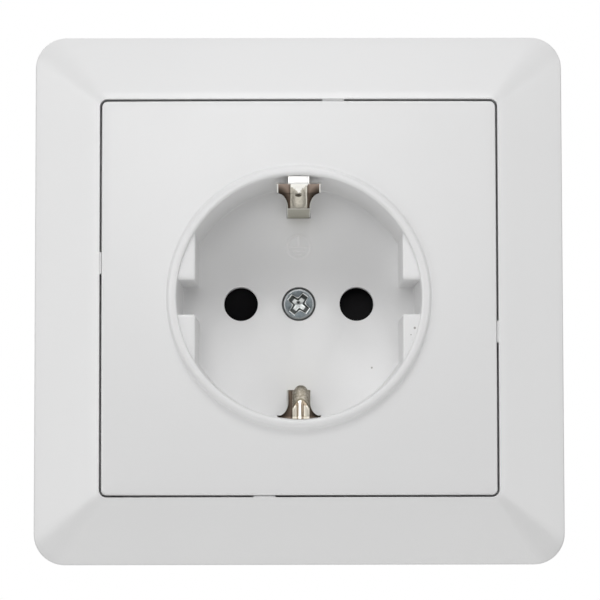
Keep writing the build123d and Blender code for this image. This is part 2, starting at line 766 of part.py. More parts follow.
for name, plane in terminals.items():
    # Clamp spring: a folded leaf that leans along the way a wire goes in and bites it at the bar.
    across = Plane(origin=plane.origin, x_dir=plane.x_dir, z_dir=-plane.y_dir)
    with BuildPart() as clamp_spring:
        with BuildSketch(across.offset(-clamp_half)):
            with BuildLine() as leaf:
                FilletPolyline(
                    (clamp_t / 2, clamp_height),
                    (clamp_t / 2, clamp_low),
                    (clamp_t / 2 + 1.0, clamp_low),
                    (wire_to_wall + wire_to_bar - clamp_t * 0.75 - clamp_rest, clamp_high),
                    radius=0.45,
                )
            trace(leaf.edges(), clamp_t)
        extrude(amount=2 * clamp_half)
    write(clamp_spring.part, name + "_clamp_spring")

    # Release button: pressed with a screwdriver tip, its foot opens the leaf for both wires.
    with BuildPart() as release_button:
        with BuildSketch(plane.offset(-back_wall - button_proud)):
            with Locations((foot_to_wall + button_t / 2, 0)):
                Rectangle(button_t, button_width)
        extrude(amount=back_wall + button_proud + foot_height / 2)
        with BuildSketch(plane.offset(running_gap)):
            with Locations((foot_to_wall + button_t / 2, 0)):
                Rectangle(button_t, 2 * foot_half)
        extrude(amount=foot_height - running_gap)
    write(release_button.part, name + "_release_button")


def claw_pieces(way, name):
    """The claw, its screw and its nut on one side; way is 1 right and -1 left."""
    front_h = claw_pivot_h + claw_t / 2
    rear_h = claw_pivot_h - claw_t / 2
    with BuildPart() as claw:
        with BuildSketch(wall(front_h)):
            with Locations((way * (claw_pivot_x + claw_arm_x) / 2, 0)):
                Rectangle(claw_arm_x - claw_pivot_x, 2 * claw_half)
            with Locations((way * claw_fork_x / 2, 0)):
                Rectangle(claw_fork_x, 2 * (nut_half + slide_gap), mode=Mode.SUBTRACT)
        extrude(amount=-claw_t)
        with BuildSketch(wall(rear_h)):
            with Locations((way * (claw_arm_x - claw_t / 2), 0)):
                Rectangle(claw_t, 2 * claw_half)
        extrude(amount=claw_end_h - rear_h)
        with BuildSketch(wall(claw_end_h)):
            with GridLocations(0, claw_half * 0.8, 1, 3):
                with Locations((way * (claw_arm_x + claw_tooth / 2), 0)):
                    Rectangle(claw_tooth, claw_half * 0.4)
        extrude(amount=claw_t)
        with BuildSketch(Plane.XY.offset(-claw_half)):
            with Locations(plan(way * claw_pivot_x, claw_pivot_h)):
                Circle(knuckle_r)
        extrude(amount=claw_half - nut_half - slide_gap)
        with BuildSketch(Plane.XY.offset(claw_half)):
            with Locations(plan(way * claw_pivot_x, claw_pivot_h)):
                Circle(knuckle_r)
        extrude(amount=nut_half + slide_gap - claw_half)
    write(claw.part, name + "_claw")

    with BuildPart() as claw_screw:
        with BuildSketch(wall(ring_t)):
            with Locations((way * claw_screw_x, 0)):
                Circle(claw_head_r)
        extrude(amount=claw_head_t)
        fillet(claw_screw.edges().sort_by(Axis.Y)[0], radius=0.4)
        with BuildSketch(wall(ring_t + claw_head_t)):
            with Locations((way * claw_screw_x, 0)):
                Rectangle(3.2, 0.8)
                Rectangle(0.8, 3.2)
        extrude(amount=-1.1, mode=Mode.SUBTRACT)
        with BuildSketch(wall(ring_t)):
            with Locations((way * claw_screw_x, 0)):
                Circle(claw_screw_r)
        extrude(amount=claw_screw_end_h - ring_t)
    write(claw_screw.part, name + "_claw_screw")

    with BuildPart() as claw_nut:
        nut_inner_x = body_flat + slide_gap
        with BuildSketch(wall(rear_h - nut_gap)):
            with Locations((way * (nut_inner_x + nut_outer_x) / 2, 0)):
                Rectangle(nut_outer_x - nut_inner_x, 2 * nut_half)
            with Locations((way * claw_screw_x, 0)):
                Circle(claw_screw_r + running_gap, mode=Mode.SUBTRACT)
        extrude(amount=-nut_t)
    write(claw_nut.part, name + "_claw_nut")


claw_pieces(-1, "left")
claw_pieces(1, "right")
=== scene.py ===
# %% [markdown]
# # An earthed wall socket, dressed for its picture
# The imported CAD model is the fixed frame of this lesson. +Z is up, +X is to the right, and the
# front of the socket looks along -Y. Each piece that shows in the picture is worked out here
# again as a fine surface, in the same place as its CAD solid.

# %% Load the frame
import json
import math

import bmesh
import bpy
import numpy as np
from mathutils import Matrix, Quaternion, Vector, geometry


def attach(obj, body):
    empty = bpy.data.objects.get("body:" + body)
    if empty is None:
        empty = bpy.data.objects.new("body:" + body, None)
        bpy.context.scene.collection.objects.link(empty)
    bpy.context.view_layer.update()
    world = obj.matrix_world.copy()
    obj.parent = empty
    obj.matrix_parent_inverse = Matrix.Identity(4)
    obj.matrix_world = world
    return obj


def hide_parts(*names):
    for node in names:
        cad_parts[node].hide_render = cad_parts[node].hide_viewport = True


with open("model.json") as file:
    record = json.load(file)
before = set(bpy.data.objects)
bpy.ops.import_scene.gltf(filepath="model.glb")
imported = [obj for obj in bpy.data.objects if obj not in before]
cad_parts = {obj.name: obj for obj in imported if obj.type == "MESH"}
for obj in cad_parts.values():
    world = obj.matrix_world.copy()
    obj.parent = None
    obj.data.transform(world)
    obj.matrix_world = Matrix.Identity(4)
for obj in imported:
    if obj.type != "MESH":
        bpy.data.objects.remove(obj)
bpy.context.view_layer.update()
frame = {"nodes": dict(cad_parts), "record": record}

nodes = frame["nodes"]

# %% [markdown]
# ## Points, grids and flat faces
# All shapes below are thought of in millimetres: x to the right, z up, and h, the height out of
# the wall. A moulded piece is mostly a stack of closed outlines, so one helper joins the rows of a
# grid with quads, and another fills a flat face that has holes in it.

# %% Points and grids
def spot(x, z, h):
    """The point x to the right, z up and h out of the wall, from millimetres to metres: (x, -h, z) / 1000."""
    x, z, h = np.broadcast_arrays(np.asarray(x, float), z, h)
    return np.stack((x, -h, z), axis=-1) * 0.001


def stack(rows, wrap=True):
    """A grid patch from rows of points: corner j of row i joins corners j and j + 1 of rows i and i + 1."""
    grid = np.stack(rows)
    count, width = grid.shape[:2]
    i, j = np.meshgrid(np.arange(count - 1), np.arange(width if wrap else width - 1), indexing="ij")
    k = (j + 1) % width
    cells = np.stack((i * width + j, i * width + k, (i + 1) * width + k, (i + 1) * width + j), axis=-1)
    return grid.reshape(-1, 3), cells.reshape(-1, 4)


def inside(loop, x, z):
    """Where points lie in a closed loop: a ray to the right crosses its sides an odd number of times."""
    ax, az = loop.T[:, :, None]
    bx, bz = np.roll(loop, -1, axis=0).T[:, :, None]
    level = (az > z) != (bz > z)
    cut = ax + (z - az) * (bx - ax) / np.where(bz == az, 1, bz - az)
    return (level & (x < cut)).sum(axis=0) % 2 == 1


def flat(loops, h):
    """A flat face at height h: Delaunay triangles inside the first loop and outside the others."""
    starts = np.cumsum([0] + [len(loop) for loop in loops])
    sides = [(int(a + k), int(a + (k + 1) % n))
             for a, n in zip(starts, [len(loop) for loop in loops]) for k in range(n)]
    spots = [Vector(point) for point in np.concatenate(loops).tolist()]
    out = geometry.delaunay_2d_cdt(spots, sides, [], 1, 1e-6)
    plane = np.array([tuple(point) for point in out[0]])
    cells = np.array([list(face) for face in out[2]])
    x, z = plane[cells].mean(axis=1).T
    kept = inside(loops[0], x, z)
    for hole in loops[1:]:
        kept &= ~inside(hole, x, z)
    return spot(plane[:, 0], plane[:, 1], h), cells[kept]


def cap(points):
    """One flat face over a closed row of points."""
    return points, [list(range(len(points)))]


# %% [markdown]
# A finished mesh is several patches put together. Points that fall on each other are merged, so
# that seams close, and then all faces are turned outwards. Edges that turn more sharply than the
# given angle stay sharp, and everything else is shaded smooth.

# %% Patches to a piece
def piece(name, patches, sharp=32.0, marks=None):
    """One closed mesh object from patches of (points, faces). marks is a value for each point, kept
    in the attribute "mark" for the finish to read."""
    points, faces, start = [], [], 0
    for spots, cells in patches:
        points.append(spots)
        faces += (np.asarray(cells) + start).tolist()
        start += len(spots)
    mesh = bpy.data.meshes.new(name)
    mesh.from_pydata(np.concatenate(points).tolist(), [], faces)
    if marks is not None:
        layer = mesh.attributes.new("mark", "FLOAT", "POINT")
        layer.data.foreach_set("value", np.concatenate(marks).astype(np.float32))
    return settle(name, mesh, sharp)


same_spot, no_length = 2e-7, 1e-8        # metres


def settle(name, mesh, sharp):
    """Merges doubles, turns the faces outwards, shades by angle and links the object at the origin."""
    shell = bmesh.new()
    shell.from_mesh(mesh)
    bmesh.ops.remove_doubles(shell, verts=shell.verts, dist=same_spot)
    bmesh.ops.dissolve_degenerate(shell, edges=shell.edges, dist=no_length)
    bmesh.ops.recalc_face_normals(shell, faces=shell.faces)
    shell.to_mesh(mesh)
    shell.free()
    mesh.polygons.foreach_set("use_smooth", np.ones(len(mesh.polygons), bool))
    mesh.set_sharp_from_angle(angle=math.radians(sharp))
    made = bpy.data.objects.new(name, mesh)
    bpy.context.scene.collection.objects.link(made)
    print(name, "has", len(mesh.polygons), "faces")
    return made


# %% [markdown]
# The outlines are circles, rounded squares and the well's own shape. Most of them are the same in
# all four quarters, so only the first quarter is worked out and then mirrored. What is turned
# round an axis, such as a pin hole or the boss, is a profile of radii and heights.

# %% Outlines
def turn_round(quarter):
    """A closed outline from its first quarter, given from the x axis to the z axis, by mirroring it."""
    a, b = quarter[:-1], quarter[::-1][:-1]
    return np.concatenate((a, b * (-1, 1), a * (-1, -1), b * (1, -1)))


def arc(x, z, r, start, end, count):
    """count + 1 points of a circle's arc: (x + r cos t, z + r sin t), with t from start to end in degrees."""
    t = np.radians(np.linspace(start, end, count + 1))
    return np.stack((x + r * np.cos(t), z + r * np.sin(t)), axis=-1)


def line(start, end, count):
    """count + 1 points from start to end in equal steps."""
    return np.linspace(start, end, count + 1)


def circle(x, z, r, count=64):
    """A closed circle's outline."""
    return arc(x, z, r, 0, 360, count)[:-1]


def slab(half_x, half_z, corner, marks=(), bend=10):
    """A rectangle's outline with rounded corners. marks are extra places along each straight side."""
    side = np.array([0.0, *marks, half_z - corner])
    top = np.array([half_x - corner, *marks[::-1], 0.0])
    quarter = np.concatenate((
        np.stack((np.full(len(side), half_x), side), axis=-1),
        arc(half_x - corner, half_z - corner, corner, 0, 90, bend)[1:-1],
        np.stack((top, np.full(len(top), half_z)), axis=-1),
    ))
    return turn_round(quarter)


def row(outline, h, x=0.0, z=0.0):
    """An outline set at height h, as points."""
    return spot(outline[:, 0] + x, outline[:, 1] + z, h)


def turned(x, z, profile, count=64):
    """A surface turned round (x, z): one circle for each (r, h) of the profile."""
    return stack([row(circle(x, z, r, count), h) for r, h in profile])


# %% [markdown]
# ## Cover frame
# The frame is a moulded shell: its front slopes evenly from the opening out to the side walls,
# behind it the shell is hollow, a ledge inside carries the centre plate and a skirt stands on the
# support ring. One closed section, walked round a rounded square, gives all of it. Each point of
# the section is a half size, a corner radius and a height, and between two points the outlines
# blend evenly, which keeps the slope flat on the sides and soft at the corners.

# %% The frame's section
frame_half, frame_corner = 42.5, 5.0
opening, opening_corner = 31.72, 1.2
edge_h, front_h, ledge_h = 4.2, 10.0, 5.8
edge_r, lip = 0.5, 0.13
slope = math.degrees(math.atan2(front_h - edge_h, frame_half - opening))
slope_top = front_h - lip * math.tan(math.radians(slope))
edge_drop = edge_r * math.tan(math.radians((90 - slope) / 2))
shoulder = arc(frame_half - edge_r, edge_h - edge_drop, edge_r, 0, 90 - slope, 6)


def along(half):
    """The corner radius that the ruled front has at this half size: even from the side wall's
    corner to the opening's."""
    share = (half - opening) / (frame_half - opening)
    return opening_corner + share * (frame_corner - opening_corner)


section = [(frame_half - 0.2, frame_corner - 0.2, 0.0), (frame_half, frame_corner, 0.2)]
section += [(s, frame_corner - (frame_half - s), h) for s, h in shoulder]
front = np.linspace(shoulder[-1], (opening + lip, slope_top), 9)[1:]
section += [(s, along(s), h) for s, h in front.tolist()]
for t in np.radians([22.5, 45, 67.5, 90]).tolist():
    back = lip * (1 - math.sin(t))
    sunk = lip * (1 - math.cos(t)) - 0.02 * math.sin(2 * t)
    section.append((opening + back, opening_corner + back, slope_top - sunk))
ledge_in, ledge_under, ledge_edge = 28.62, ledge_h - 1.6, 0.08
skirt_out, skirt_corner, skirt_h, skirt_top = opening + 1.2, 2.4, 1.0, 7.22
shell_in, shell_corner, shell_h = frame_half - 1.8, 3.2, 2.2
section += [(opening, opening_corner, ledge_h), (ledge_in + ledge_edge, opening_corner, ledge_h),
            (ledge_in, opening_corner, ledge_h - ledge_edge), (ledge_in, opening_corner, ledge_under),
            (opening, opening_corner, ledge_under), (opening, opening_corner, skirt_h),
            (skirt_out, skirt_corner, skirt_h), (skirt_out, skirt_corner, skirt_top),
            (shell_in, shell_corner, shell_h), (shell_in, shell_corner, 0.2),
            (shell_in + 0.2, shell_corner + 0.2, 0.0)]
section.append(section[0])
print("points in the frame's section:", len(section))

# %% [markdown]
# The skirt has a notch in the middle of each side, so there its foot is lifted to the ledge. Four
# thin tabs stand in the gap round the plate and keep it centred. They are blocks with a small
# bevel on top, and the second pair is the first one turned by a quarter.

# %% Cover frame
side_marks, notch_half = (2.2, 4.49, 4.51, 9.0, 15.0, 21.0, 25.5), 4.5
frame_rows = []
for s, corner, h in section:
    outline = slab(s, s, corner, side_marks, 14)
    on_skirt = opening - 0.01 < s < skirt_out + 0.08
    notch = (np.abs(outline).min(axis=1) < notch_half) & (h < ledge_under) & on_skirt
    frame_rows.append(row(outline, np.where(notch, ledge_under, h)))
frame_patches = [stack(frame_rows)]
tab_x, tab_z, tab_corner, tab_bevel = 0.166, 1.75, 0.1, 0.04
tab_foot = slab(tab_x, tab_z, tab_corner, bend=3)
tab_top = slab(tab_x - tab_bevel, tab_z - tab_bevel, tab_corner - tab_bevel, bend=3)
for x, z in ((opening - 0.09, -5.5), (-opening + 0.09, 5.5)):
    for quarter_on in (False, True):
        foot, top = (tab_foot[:, ::-1], tab_top[:, ::-1]) if quarter_on else (tab_foot, tab_top)
        at = (-z, x) if quarter_on else (x, z)
        tab = [row(foot, ledge_h - 0.1, *at), row(foot, front_h - 0.5 - tab_bevel, *at),
               row(top, front_h - 0.5, *at)]
        frame_patches += [stack(tab), cap(tab[-1]), cap(tab[0])]
cover = piece("cover_frame_skin", frame_patches, 25)
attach(cover, "socket")
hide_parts("cover_frame")

# %% [markdown]
# ## Centre plate
# The plate is one moulding: a square, slightly domed face, a beaded rim, and the well with its
# two pairs of keys. Seen from the front, every height of it is one closed outline round the same
# axis, so the whole of it is a stack of outlines that share their corner numbers. The first
# quarter of the well's outline is walked from the right: the wall in the gap between the keys, the
# key's side, its rounded corner, its flat, and the wall again.

# %% The well's outline
rim_h, key_h, floor_h, under_h = 11.4, 10.5, -6.1, -8.3
mouth_r, draft = 19.45, math.tan(math.radians(1.0))
key_flat, key_gap, key_corner, key_edge = 16.45, 2.75, 0.35, 0.4
corner_from, corner_to = 44.17, 45.83        # degrees, where a ray meets the plate's rounded corner
quarter_turn = np.radians(np.linspace(0, 90, 7)).tolist()


def wall_r(h):
    """The radius of the well's wall at height h: the mouth's, less the draft times the depth."""
    return mouth_r - (rim_h - h) * draft


def well_outline(radius, ease=0.0, inset=0.0):
    """The well's outline where its wall has this radius. ease draws the keys back from their
    front edge, and inset moves the wall and the keys together, for the fillet at the floor."""
    r, flat_x, gap = radius - inset, key_flat + ease - inset, key_gap + ease - inset
    low, high = math.degrees(math.asin(gap / r)), math.degrees(math.acos(flat_x / r))
    steps = (
        arc(0, 0, r, 0, low, 6),
        line((math.sqrt(r * r - gap * gap), gap), (flat_x + key_corner, gap), 8),
        arc(flat_x + key_corner, gap + key_corner, key_corner, 270, 180, 6),
        line((flat_x, gap + key_corner), (flat_x, math.sqrt(r * r - flat_x * flat_x)), 16),
        arc(0, 0, r, high, corner_from, 10),
        arc(0, 0, r, corner_from, corner_to, 8),
        arc(0, 0, r, corner_to, 90, 40),
    )
    return turn_round(np.concatenate([s[:-1] for s in steps] + [steps[-1][-1:]]))


compass = well_outline(wall_r(key_h), key_edge)
compass /= np.hypot(*compass.T)[:, None]
print("points round the plate:", len(compass))

# %% [markdown]
# The plate's square outlines are met by the same rays as the well's, so that quads join them. The
# rows go from the underside out to the edge, over its rounding and the domed face, up the bead's
# hollow foot and quarter of an ellipse, and down into the mouth to the keys and the floor's fillet.

# %% The plate's rows
plate_half, plate_corner, plate_edge = 31.4, 0.9, 0.35
hollow_half, hollow_h, cup_r = 29.9, 8.45, 21.3        # the shell's hollow, and the well's outer wall
crown_h, dome_r = 10.35, 1500
bead_foot_r, bead_hollow, bead_crest_r, bead_reach = 21.35, 0.4, 20.2, 0.75
mouth_edge, fillet = 0.45, 0.25


def square(half, corner):
    """A rounded square's outline, met by the same rays as the well's: the ray's length is half over
    its larger part, or up to the corner's circle where it passes the end of the straight side."""
    u = np.abs(compass)
    straight = half / u.max(axis=1)
    past = straight * u.min(axis=1) > half - corner
    p = (half - corner) * u.sum(axis=1)
    around = p + np.sqrt(np.maximum(corner**2 - 2 * (half - corner) ** 2 + p * p, 0))
    return compass * np.where(past, around, straight)[:, None]


def dome(outline):
    """The face's height: the crown, less the square of the distance over twice the dome's radius."""
    return crown_h - (outline**2).sum(axis=1) / (2 * dome_r)


rows = [row(compass * cup_r, under_h), row(compass * cup_r, hollow_h),
        row(square(hollow_half, plate_corner), hollow_h), row(square(hollow_half, plate_corner), ledge_h),
        row(square(plate_half - 0.1, plate_corner - 0.1), ledge_h),
        row(square(plate_half, plate_corner), ledge_h + 0.1)]
for t in quarter_turn:
    back = plate_edge * (1 - math.cos(t))
    edge = square(plate_half - back, plate_corner - back)
    rows.append(row(edge, dome(edge) - plate_edge * (1 - math.sin(t))))
outer, inner = square(plate_half - plate_edge, plate_corner - plate_edge), compass * bead_foot_r
for share in np.linspace(0, 1, 12)[1:-1].tolist():
    between = outer + (inner - outer) * share
    rows.append(row(between, dome(between)))
side_h = crown_h - bead_foot_r**2 / (2 * dome_r) + bead_hollow
ellipse = arc(0, 0, 1, 0, 90, 16) * (bead_reach, rim_h - side_h) + (bead_crest_r, side_h)
profile = np.concatenate((
    arc(bead_foot_r, side_h, bead_hollow, 270, 180, 8),
    ellipse[1:],
    line((bead_crest_r - 0.1, rim_h), (bead_crest_r - 0.25, rim_h), 2),
    arc(mouth_r + mouth_edge, rim_h - mouth_edge, mouth_edge, 90, 180, 8)[1:],
))
rows += [row(compass * r, h) for r, h in profile.tolist()]
rows.append(row(compass * wall_r(key_h), key_h))
for t in quarter_turn:
    h = key_h - key_edge * (1 - math.cos(t))
    rows.append(row(well_outline(wall_r(h), key_edge * (1 - math.sin(t))), h))
for h in np.linspace(key_h - key_edge, floor_h + fillet, 6).tolist()[1:]:
    rows.append(row(well_outline(wall_r(h)), h))
for t in np.radians(np.linspace(0, 90, 6)).tolist()[1:]:
    h = floor_h + fillet * (1 - math.sin(t))
    rows.append(row(well_outline(wall_r(h), 0.0, fillet * (1 - math.cos(t))), h))
plate_patches = [stack(rows)]
print("rows round the plate:", len(rows))

# %% [markdown]
# The floor closes the well. Its outer loop is the last outline, led round the two slots that the
# earth clips stand in; the pin holes with their small chamfer and the counterbore of the screw
# are holes in it. Below, the same slots and holes pierce the underside, with the boss that the
# shutter turns on and two pegs.

# %% The well's floor and what passes through it
floor_loop = well_outline(wall_r(floor_h), 0.0, fillet)
slot_half, slot_from = 3.7, 17
at_slot = (np.abs(floor_loop[:, 0]) < slot_half) & (np.abs(floor_loop[:, 1]) > slot_from)
upper = np.flatnonzero(at_slot & (floor_loop[:, 1] > 0))
lower = np.flatnonzero(at_slot & (floor_loop[:, 1] < 0))
wide, step_z, narrow, back_z = abs(floor_loop[upper[0], 0]), 18.3, 1.96, 14.14
neck = np.array([(-wide, step_z), (-narrow, step_z), (-narrow, back_z),
                 (narrow, back_z), (narrow, step_z), (wide, step_z)])
slot_up = np.concatenate((floor_loop[upper], neck))
slot_down = np.concatenate((floor_loop[lower], -neck))
rim = np.concatenate((floor_loop[:upper[0] + 1], neck[::-1], floor_loop[upper[-1]:lower[0] + 1],
                      -neck[::-1], floor_loop[lower[-1]:]))
pin_x, pin_r, pin_mouth = 9.5, 2.78, 2.85
bore_r, bore_mouth, bore_h, shank_hole = 2.72, 2.92, floor_h - 1.95, 1.65
boss_r, boss_h, peg_r, peg_z, peg_bevel = 4.4, -11.55, 1.2, 11.4, 0.1
pin_mouths = [circle(x, 0, pin_mouth) for x in (pin_x, -pin_x)]
plate_patches.append(flat([rim, *pin_mouths, circle(0, 0, bore_mouth, 72)], floor_h))
for loop in (slot_up, slot_down):
    plate_patches.append(stack([row(loop, floor_h), row(loop, under_h)]))
pin_wall = [(pin_mouth, floor_h), (pin_r + 0.04, floor_h - 0.01), (pin_r + 0.01, floor_h - 0.05),
            (pin_r, floor_h - 0.1), (pin_r, under_h)]
bore_wall = [(bore_mouth, floor_h), (bore_r + 0.12, floor_h - 0.02), (bore_r + 0.04, floor_h - 0.1),
             (bore_r, floor_h - 0.2), (bore_r, bore_h), (shank_hole, bore_h), (shank_hole, boss_h),
             (boss_r, boss_h), (boss_r, under_h)]
peg_wall = [(peg_r, under_h), (peg_r, boss_h + peg_bevel), (peg_r - peg_bevel, boss_h)]
plate_patches += [turned(x, 0, pin_wall) for x in (pin_x, -pin_x)]
plate_patches.append(turned(0, 0, bore_wall, 72))
for z in (peg_z, -peg_z):
    plate_patches += [turned(0, z, peg_wall, 32), cap(row(circle(0, z, peg_r - peg_bevel, 32), boss_h))]
through = [slot_up, slot_down, circle(pin_x, 0, pin_r), circle(-pin_x, 0, pin_r), circle(0, 0, boss_r, 72)]
through += [circle(0, z, peg_r, 32) for z in (peg_z, -peg_z)]
plate_patches.append(flat([compass * cup_r, *through], under_h))

# %% [markdown]
# The earth sign is a thin ring with an upright and three bars, a twentieth of a millimetre proud of
# the floor. Each is a low ridge with soft sides, sunk a little into the floor. Its tops carry a mark
# for a painted sheen, which makes them paler than the floor round them.

# %% The moulded earth sign
plate_marks = [np.zeros(len(points)) for points, _ in plate_patches]
sign_z, ring_r, proud = 9.4, 1.9, 0.055
rises = (-0.05, 0.012, proud * 0.9, proud)        # a ridge's heights over the floor, from foot to top
ridge = [*zip((0.24, 0.21, 0.13, 0.0), rises), *zip((-0.13, -0.21, -0.24), rises[2::-1]), (0.24, rises[0])]
plate_patches.append(turned(0, sign_z, [(ring_r + r, floor_h + h) for r, h in ridge], 96))


def bar(z, half_x, half_z):
    """A low bar: outlines that shrink by 0.03, 0.1 and 0.16 as they rise from under the floor to its
    top. It starts 0.06 wider than its half sizes."""
    loops = [slab(half_x + 0.06 - d, half_z + 0.06 - d, 0.02, bend=2) for d in (0, 0.03, 0.10, 0.16)]
    bar_rows = [row(loop, floor_h + h, 0, z) for loop, h in zip(loops, rises)]
    return [stack(bar_rows), cap(bar_rows[-1]), cap(bar_rows[0])]


plate_patches += bar(sign_z + 0.93, 0.17, 0.80)
for step, half_x in enumerate((1.62, 1.02, 0.5)):
    plate_patches += bar(sign_z - step * 0.62, half_x, 0.15)
# the sign's points are marked for a paler painted sheen
plate_marks += [np.ones(len(points)) for points, _ in plate_patches[len(plate_marks):]]
plate = piece("centre_plate_skin", plate_patches, 28, plate_marks)
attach(plate, "socket")
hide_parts("centre_plate")

# %% [markdown]
# ## Earth clips
# One nickel-plated strip is folded into a wide U: it lies flat under the well, stands up through
# both slots, slants outwards from a crease, and ends in two wings and a narrow tip. A strip's
# section, a thin rectangle with rounded edges, is carried along the folded line. Its width
# changes with the distance from the axis.

# %% A folded line
def folded(corners, radii, step=0.12):
    """Points of a line of straight runs with a round bend at each inner corner: along a run they are
    even, and round a bend they turn by equal angles. Gives the points and their unit directions."""
    corners = np.asarray(corners, float)
    points, heads, start = [], [], corners[0]
    for before, at, after, r in zip(corners[:-2], corners[1:-1], corners[2:], radii):
        a = (at - before) / np.linalg.norm(at - before)
        b = (after - at) / np.linalg.norm(after - at)
        angle = math.acos(float(np.clip(a @ b, -1, 1)))
        cut = r * math.tan(angle / 2)
        end = at - a * cut
        count = max(2, int(np.linalg.norm(end - start) / step))
        points.append(line(start, end, count)[:-1])
        heads.append(np.tile(a, (count, 1)))
        hand = np.sign(a[0] * b[1] - a[1] * b[0])
        t = np.linspace(0, angle, max(3, int(angle * r / step) + 3))[:-1, None]
        normal = np.array((-a[1], a[0])) * hand
        points.append(end + normal * r * (1 - np.cos(t)) + a * r * np.sin(t))
        heads.append(a * np.cos(t) + normal * np.sin(t))
        start = at + b * cut
    a = (corners[-1] - start) / np.linalg.norm(corners[-1] - start)
    count = max(2, int(np.linalg.norm(corners[-1] - start) / step))
    points.append(line(start, corners[-1], count))
    heads.append(np.tile(a, (count + 1, 1)))
    return np.concatenate(points), np.concatenate(heads)


# %% [markdown]
# Both ends of the strip are made by the same function, each from the axis outwards. The wings end
# where the lip is, and from there only the narrow tip runs on, so one row is doubled there to step
# the width. The sheared side faces carry a mark, for a painted highlight along them.

# %% The strip's two ends
bow_h, half_sheet, sheet_edge = -11.8, 0.35, 0.2
foot_half, wing_half, tip_half, swell = 1.9, 3.55, 1.7, 2.2
upright, wall_reach = 14.2, 19.38
round_edge = np.concatenate([arc(0, 0, 1, start, start + 90, 4) for start in (0, 90, 180, 270)])
edge_x, edge_t = np.repeat((1, -1, -1, 1), 5), np.repeat((1, 1, -1, -1), 5)


def strip(way, crease, lip, tip, wing):
    """The strip on one side of the axis (way is 1 above and -1 below), as one closed tube. It leans
    out from the crease on. lip and tip are the (reach, height) where the wings and the tip end. The
    half width is the foot's, swells to the wing's along a quarter of an ellipse that ends at the
    reach wing, and is the tip's beyond the lip. Nothing reaches past the well's wall. Gives the
    patches and a mark, 1 on the sheared edges."""
    middle, head = folded(
        [(0, bow_h - half_sheet), (upright + half_sheet, bow_h - half_sheet), (upright + half_sheet, floor_h),
         (crease + half_sheet, rim_h - 5.2), lip, tip], [0.9, 3.6, 0.7, 0.5])
    reach, rise = middle.T
    to_wing = np.clip(reach - (wing - swell), 0, swell) / swell
    swept = wing_half - (wing_half - foot_half) * np.sqrt(np.maximum(1 - to_wing**2, 0))
    wide = np.where(reach > lip[0], tip_half, np.where(rise > 0, swept, foot_half))
    jump = int(np.argmax(reach > lip[0]))
    order = np.concatenate((np.arange(jump), [jump, jump], np.arange(jump, len(reach))))
    wide = wide[order]
    wide[jump], wide[jump + 1] = wing_half, tip_half
    across = edge_x * (wide[:, None] - sheet_edge) + sheet_edge * round_edge[:, 0]
    lift = edge_t * (half_sheet - sheet_edge) + sheet_edge * round_edge[:, 1]
    z = reach[order, None] - head[order, 1, None] * lift
    h = rise[order, None] + head[order, 0, None] * lift
    z = np.minimum(z, np.sqrt(wall_reach**2 - across**2))
    sheared = np.tile(np.abs(round_edge[:, 0]) > 0.3, (len(z), 1))
    grid = spot(across, way * z, h)
    unmarked = np.zeros(len(round_edge))
    return [stack(list(grid)), cap(grid[0]), cap(grid[-1])], [sheared.ravel(), unmarked, unmarked]


def below_rim(reach, depth):
    """The (reach, height) of the sheet's middle where its outer face is this far below the rim."""
    return reach, rim_h - depth - half_sheet


upper_strip, upper_marks = strip(1, 14.45, below_rim(18.2, 1.5), below_rim(19.36, 1.4), 16.95)
lower_strip, lower_marks = strip(-1, 14.6, below_rim(19.45, 0.9), below_rim(19.6, 0.82), 19.1)
for label, made in (("upper", upper_strip), ("lower", lower_strip)):
    print("rows along the", label, "strip:", len(made[0][0]) // len(round_edge))

# %% [markdown]
# A tongue is pressed up out of each slanting end, round across and domed where it meets the plug.
# The upper one has a punched dimple and opens in a V towards the mouth, and the lower one runs out
# in three ribs. Each is a sheet over two parameters: s runs down the slant and u runs across.

# %% Tongues
tongue_half, tongue_rise, lower_shift = 1.3, 0.92, 0.29
lean_z, lean_h, tongue_deep = -0.78, 0.62, 1.25        # the crest's normal, and the depth along it


def tongue(way, shift, start, end, relief):
    """The tongue: at s, from 0 at the mouth to 1 at the inner end, its half width is full until 0.66
    and then closes on an ellipse. Its crest is the line from start to end, and across it falls off
    as the square root of 1 - u^3.2. relief(s, u) is what is pressed back into it."""
    s = np.linspace(0, 1, 96)[:, None]
    u = np.linspace(-1, 1, 65)[None, :]
    closing = np.sqrt(np.maximum(1 - np.clip((s - 0.66) / 0.34, 0, 1) ** 2.2, 0))
    crest_z = start[0] + (end[0] - start[0]) * s
    crest_h = rim_h - (start[1] + (end[1] - start[1]) * s)
    crown = np.maximum(1 - np.abs(u) ** 3.2, 0) ** 0.5
    raised = tongue_rise * crown * closing - relief(s, u) - tongue_rise
    x = shift + tongue_half * closing * u
    top = spot(x, way * (crest_z + lean_z * raised), crest_h + lean_h * raised)
    under = spot(x, way * (crest_z - lean_z * tongue_deep), crest_h - lean_h * tongue_deep)
    loops = [np.concatenate((a, b[::-1])) for a, b in zip(top, under)]
    return [stack(loops), cap(loops[0]), cap(loops[-1])]


def upper_relief(s, u):
    """A round dimple at s = 0.37, and a flat V that closes from the mouth to s = 0.32."""
    vee = np.clip(1 - s / 0.32, 0, 1)
    dimple = 0.42 * np.exp(-(((u + 0.06) / 0.32) ** 4) - (((s - 0.37) / 0.05) ** 4))
    hollow = 0.22 * vee * np.clip(1.2 - np.abs(u) / (0.1 + 0.9 * vee), 0, 1)
    return dimple + hollow - 0.1 * vee * (np.abs(u) > 0.8)


def lower_relief(s, u):
    """Two notches beside a middle rib and two side ribs, which all start under a round arch."""
    arch = np.clip((0.46 - 0.26 * u**2 - s) / 0.04, 0, 1)
    notch = np.exp(-(((u + 0.42) / 0.10) ** 4)) + np.exp(-(((u - 0.18) / 0.14) ** 4))
    return 0.12 * arch + 0.3 * np.clip((0.43 - s) / 0.05, 0, 1) * notch


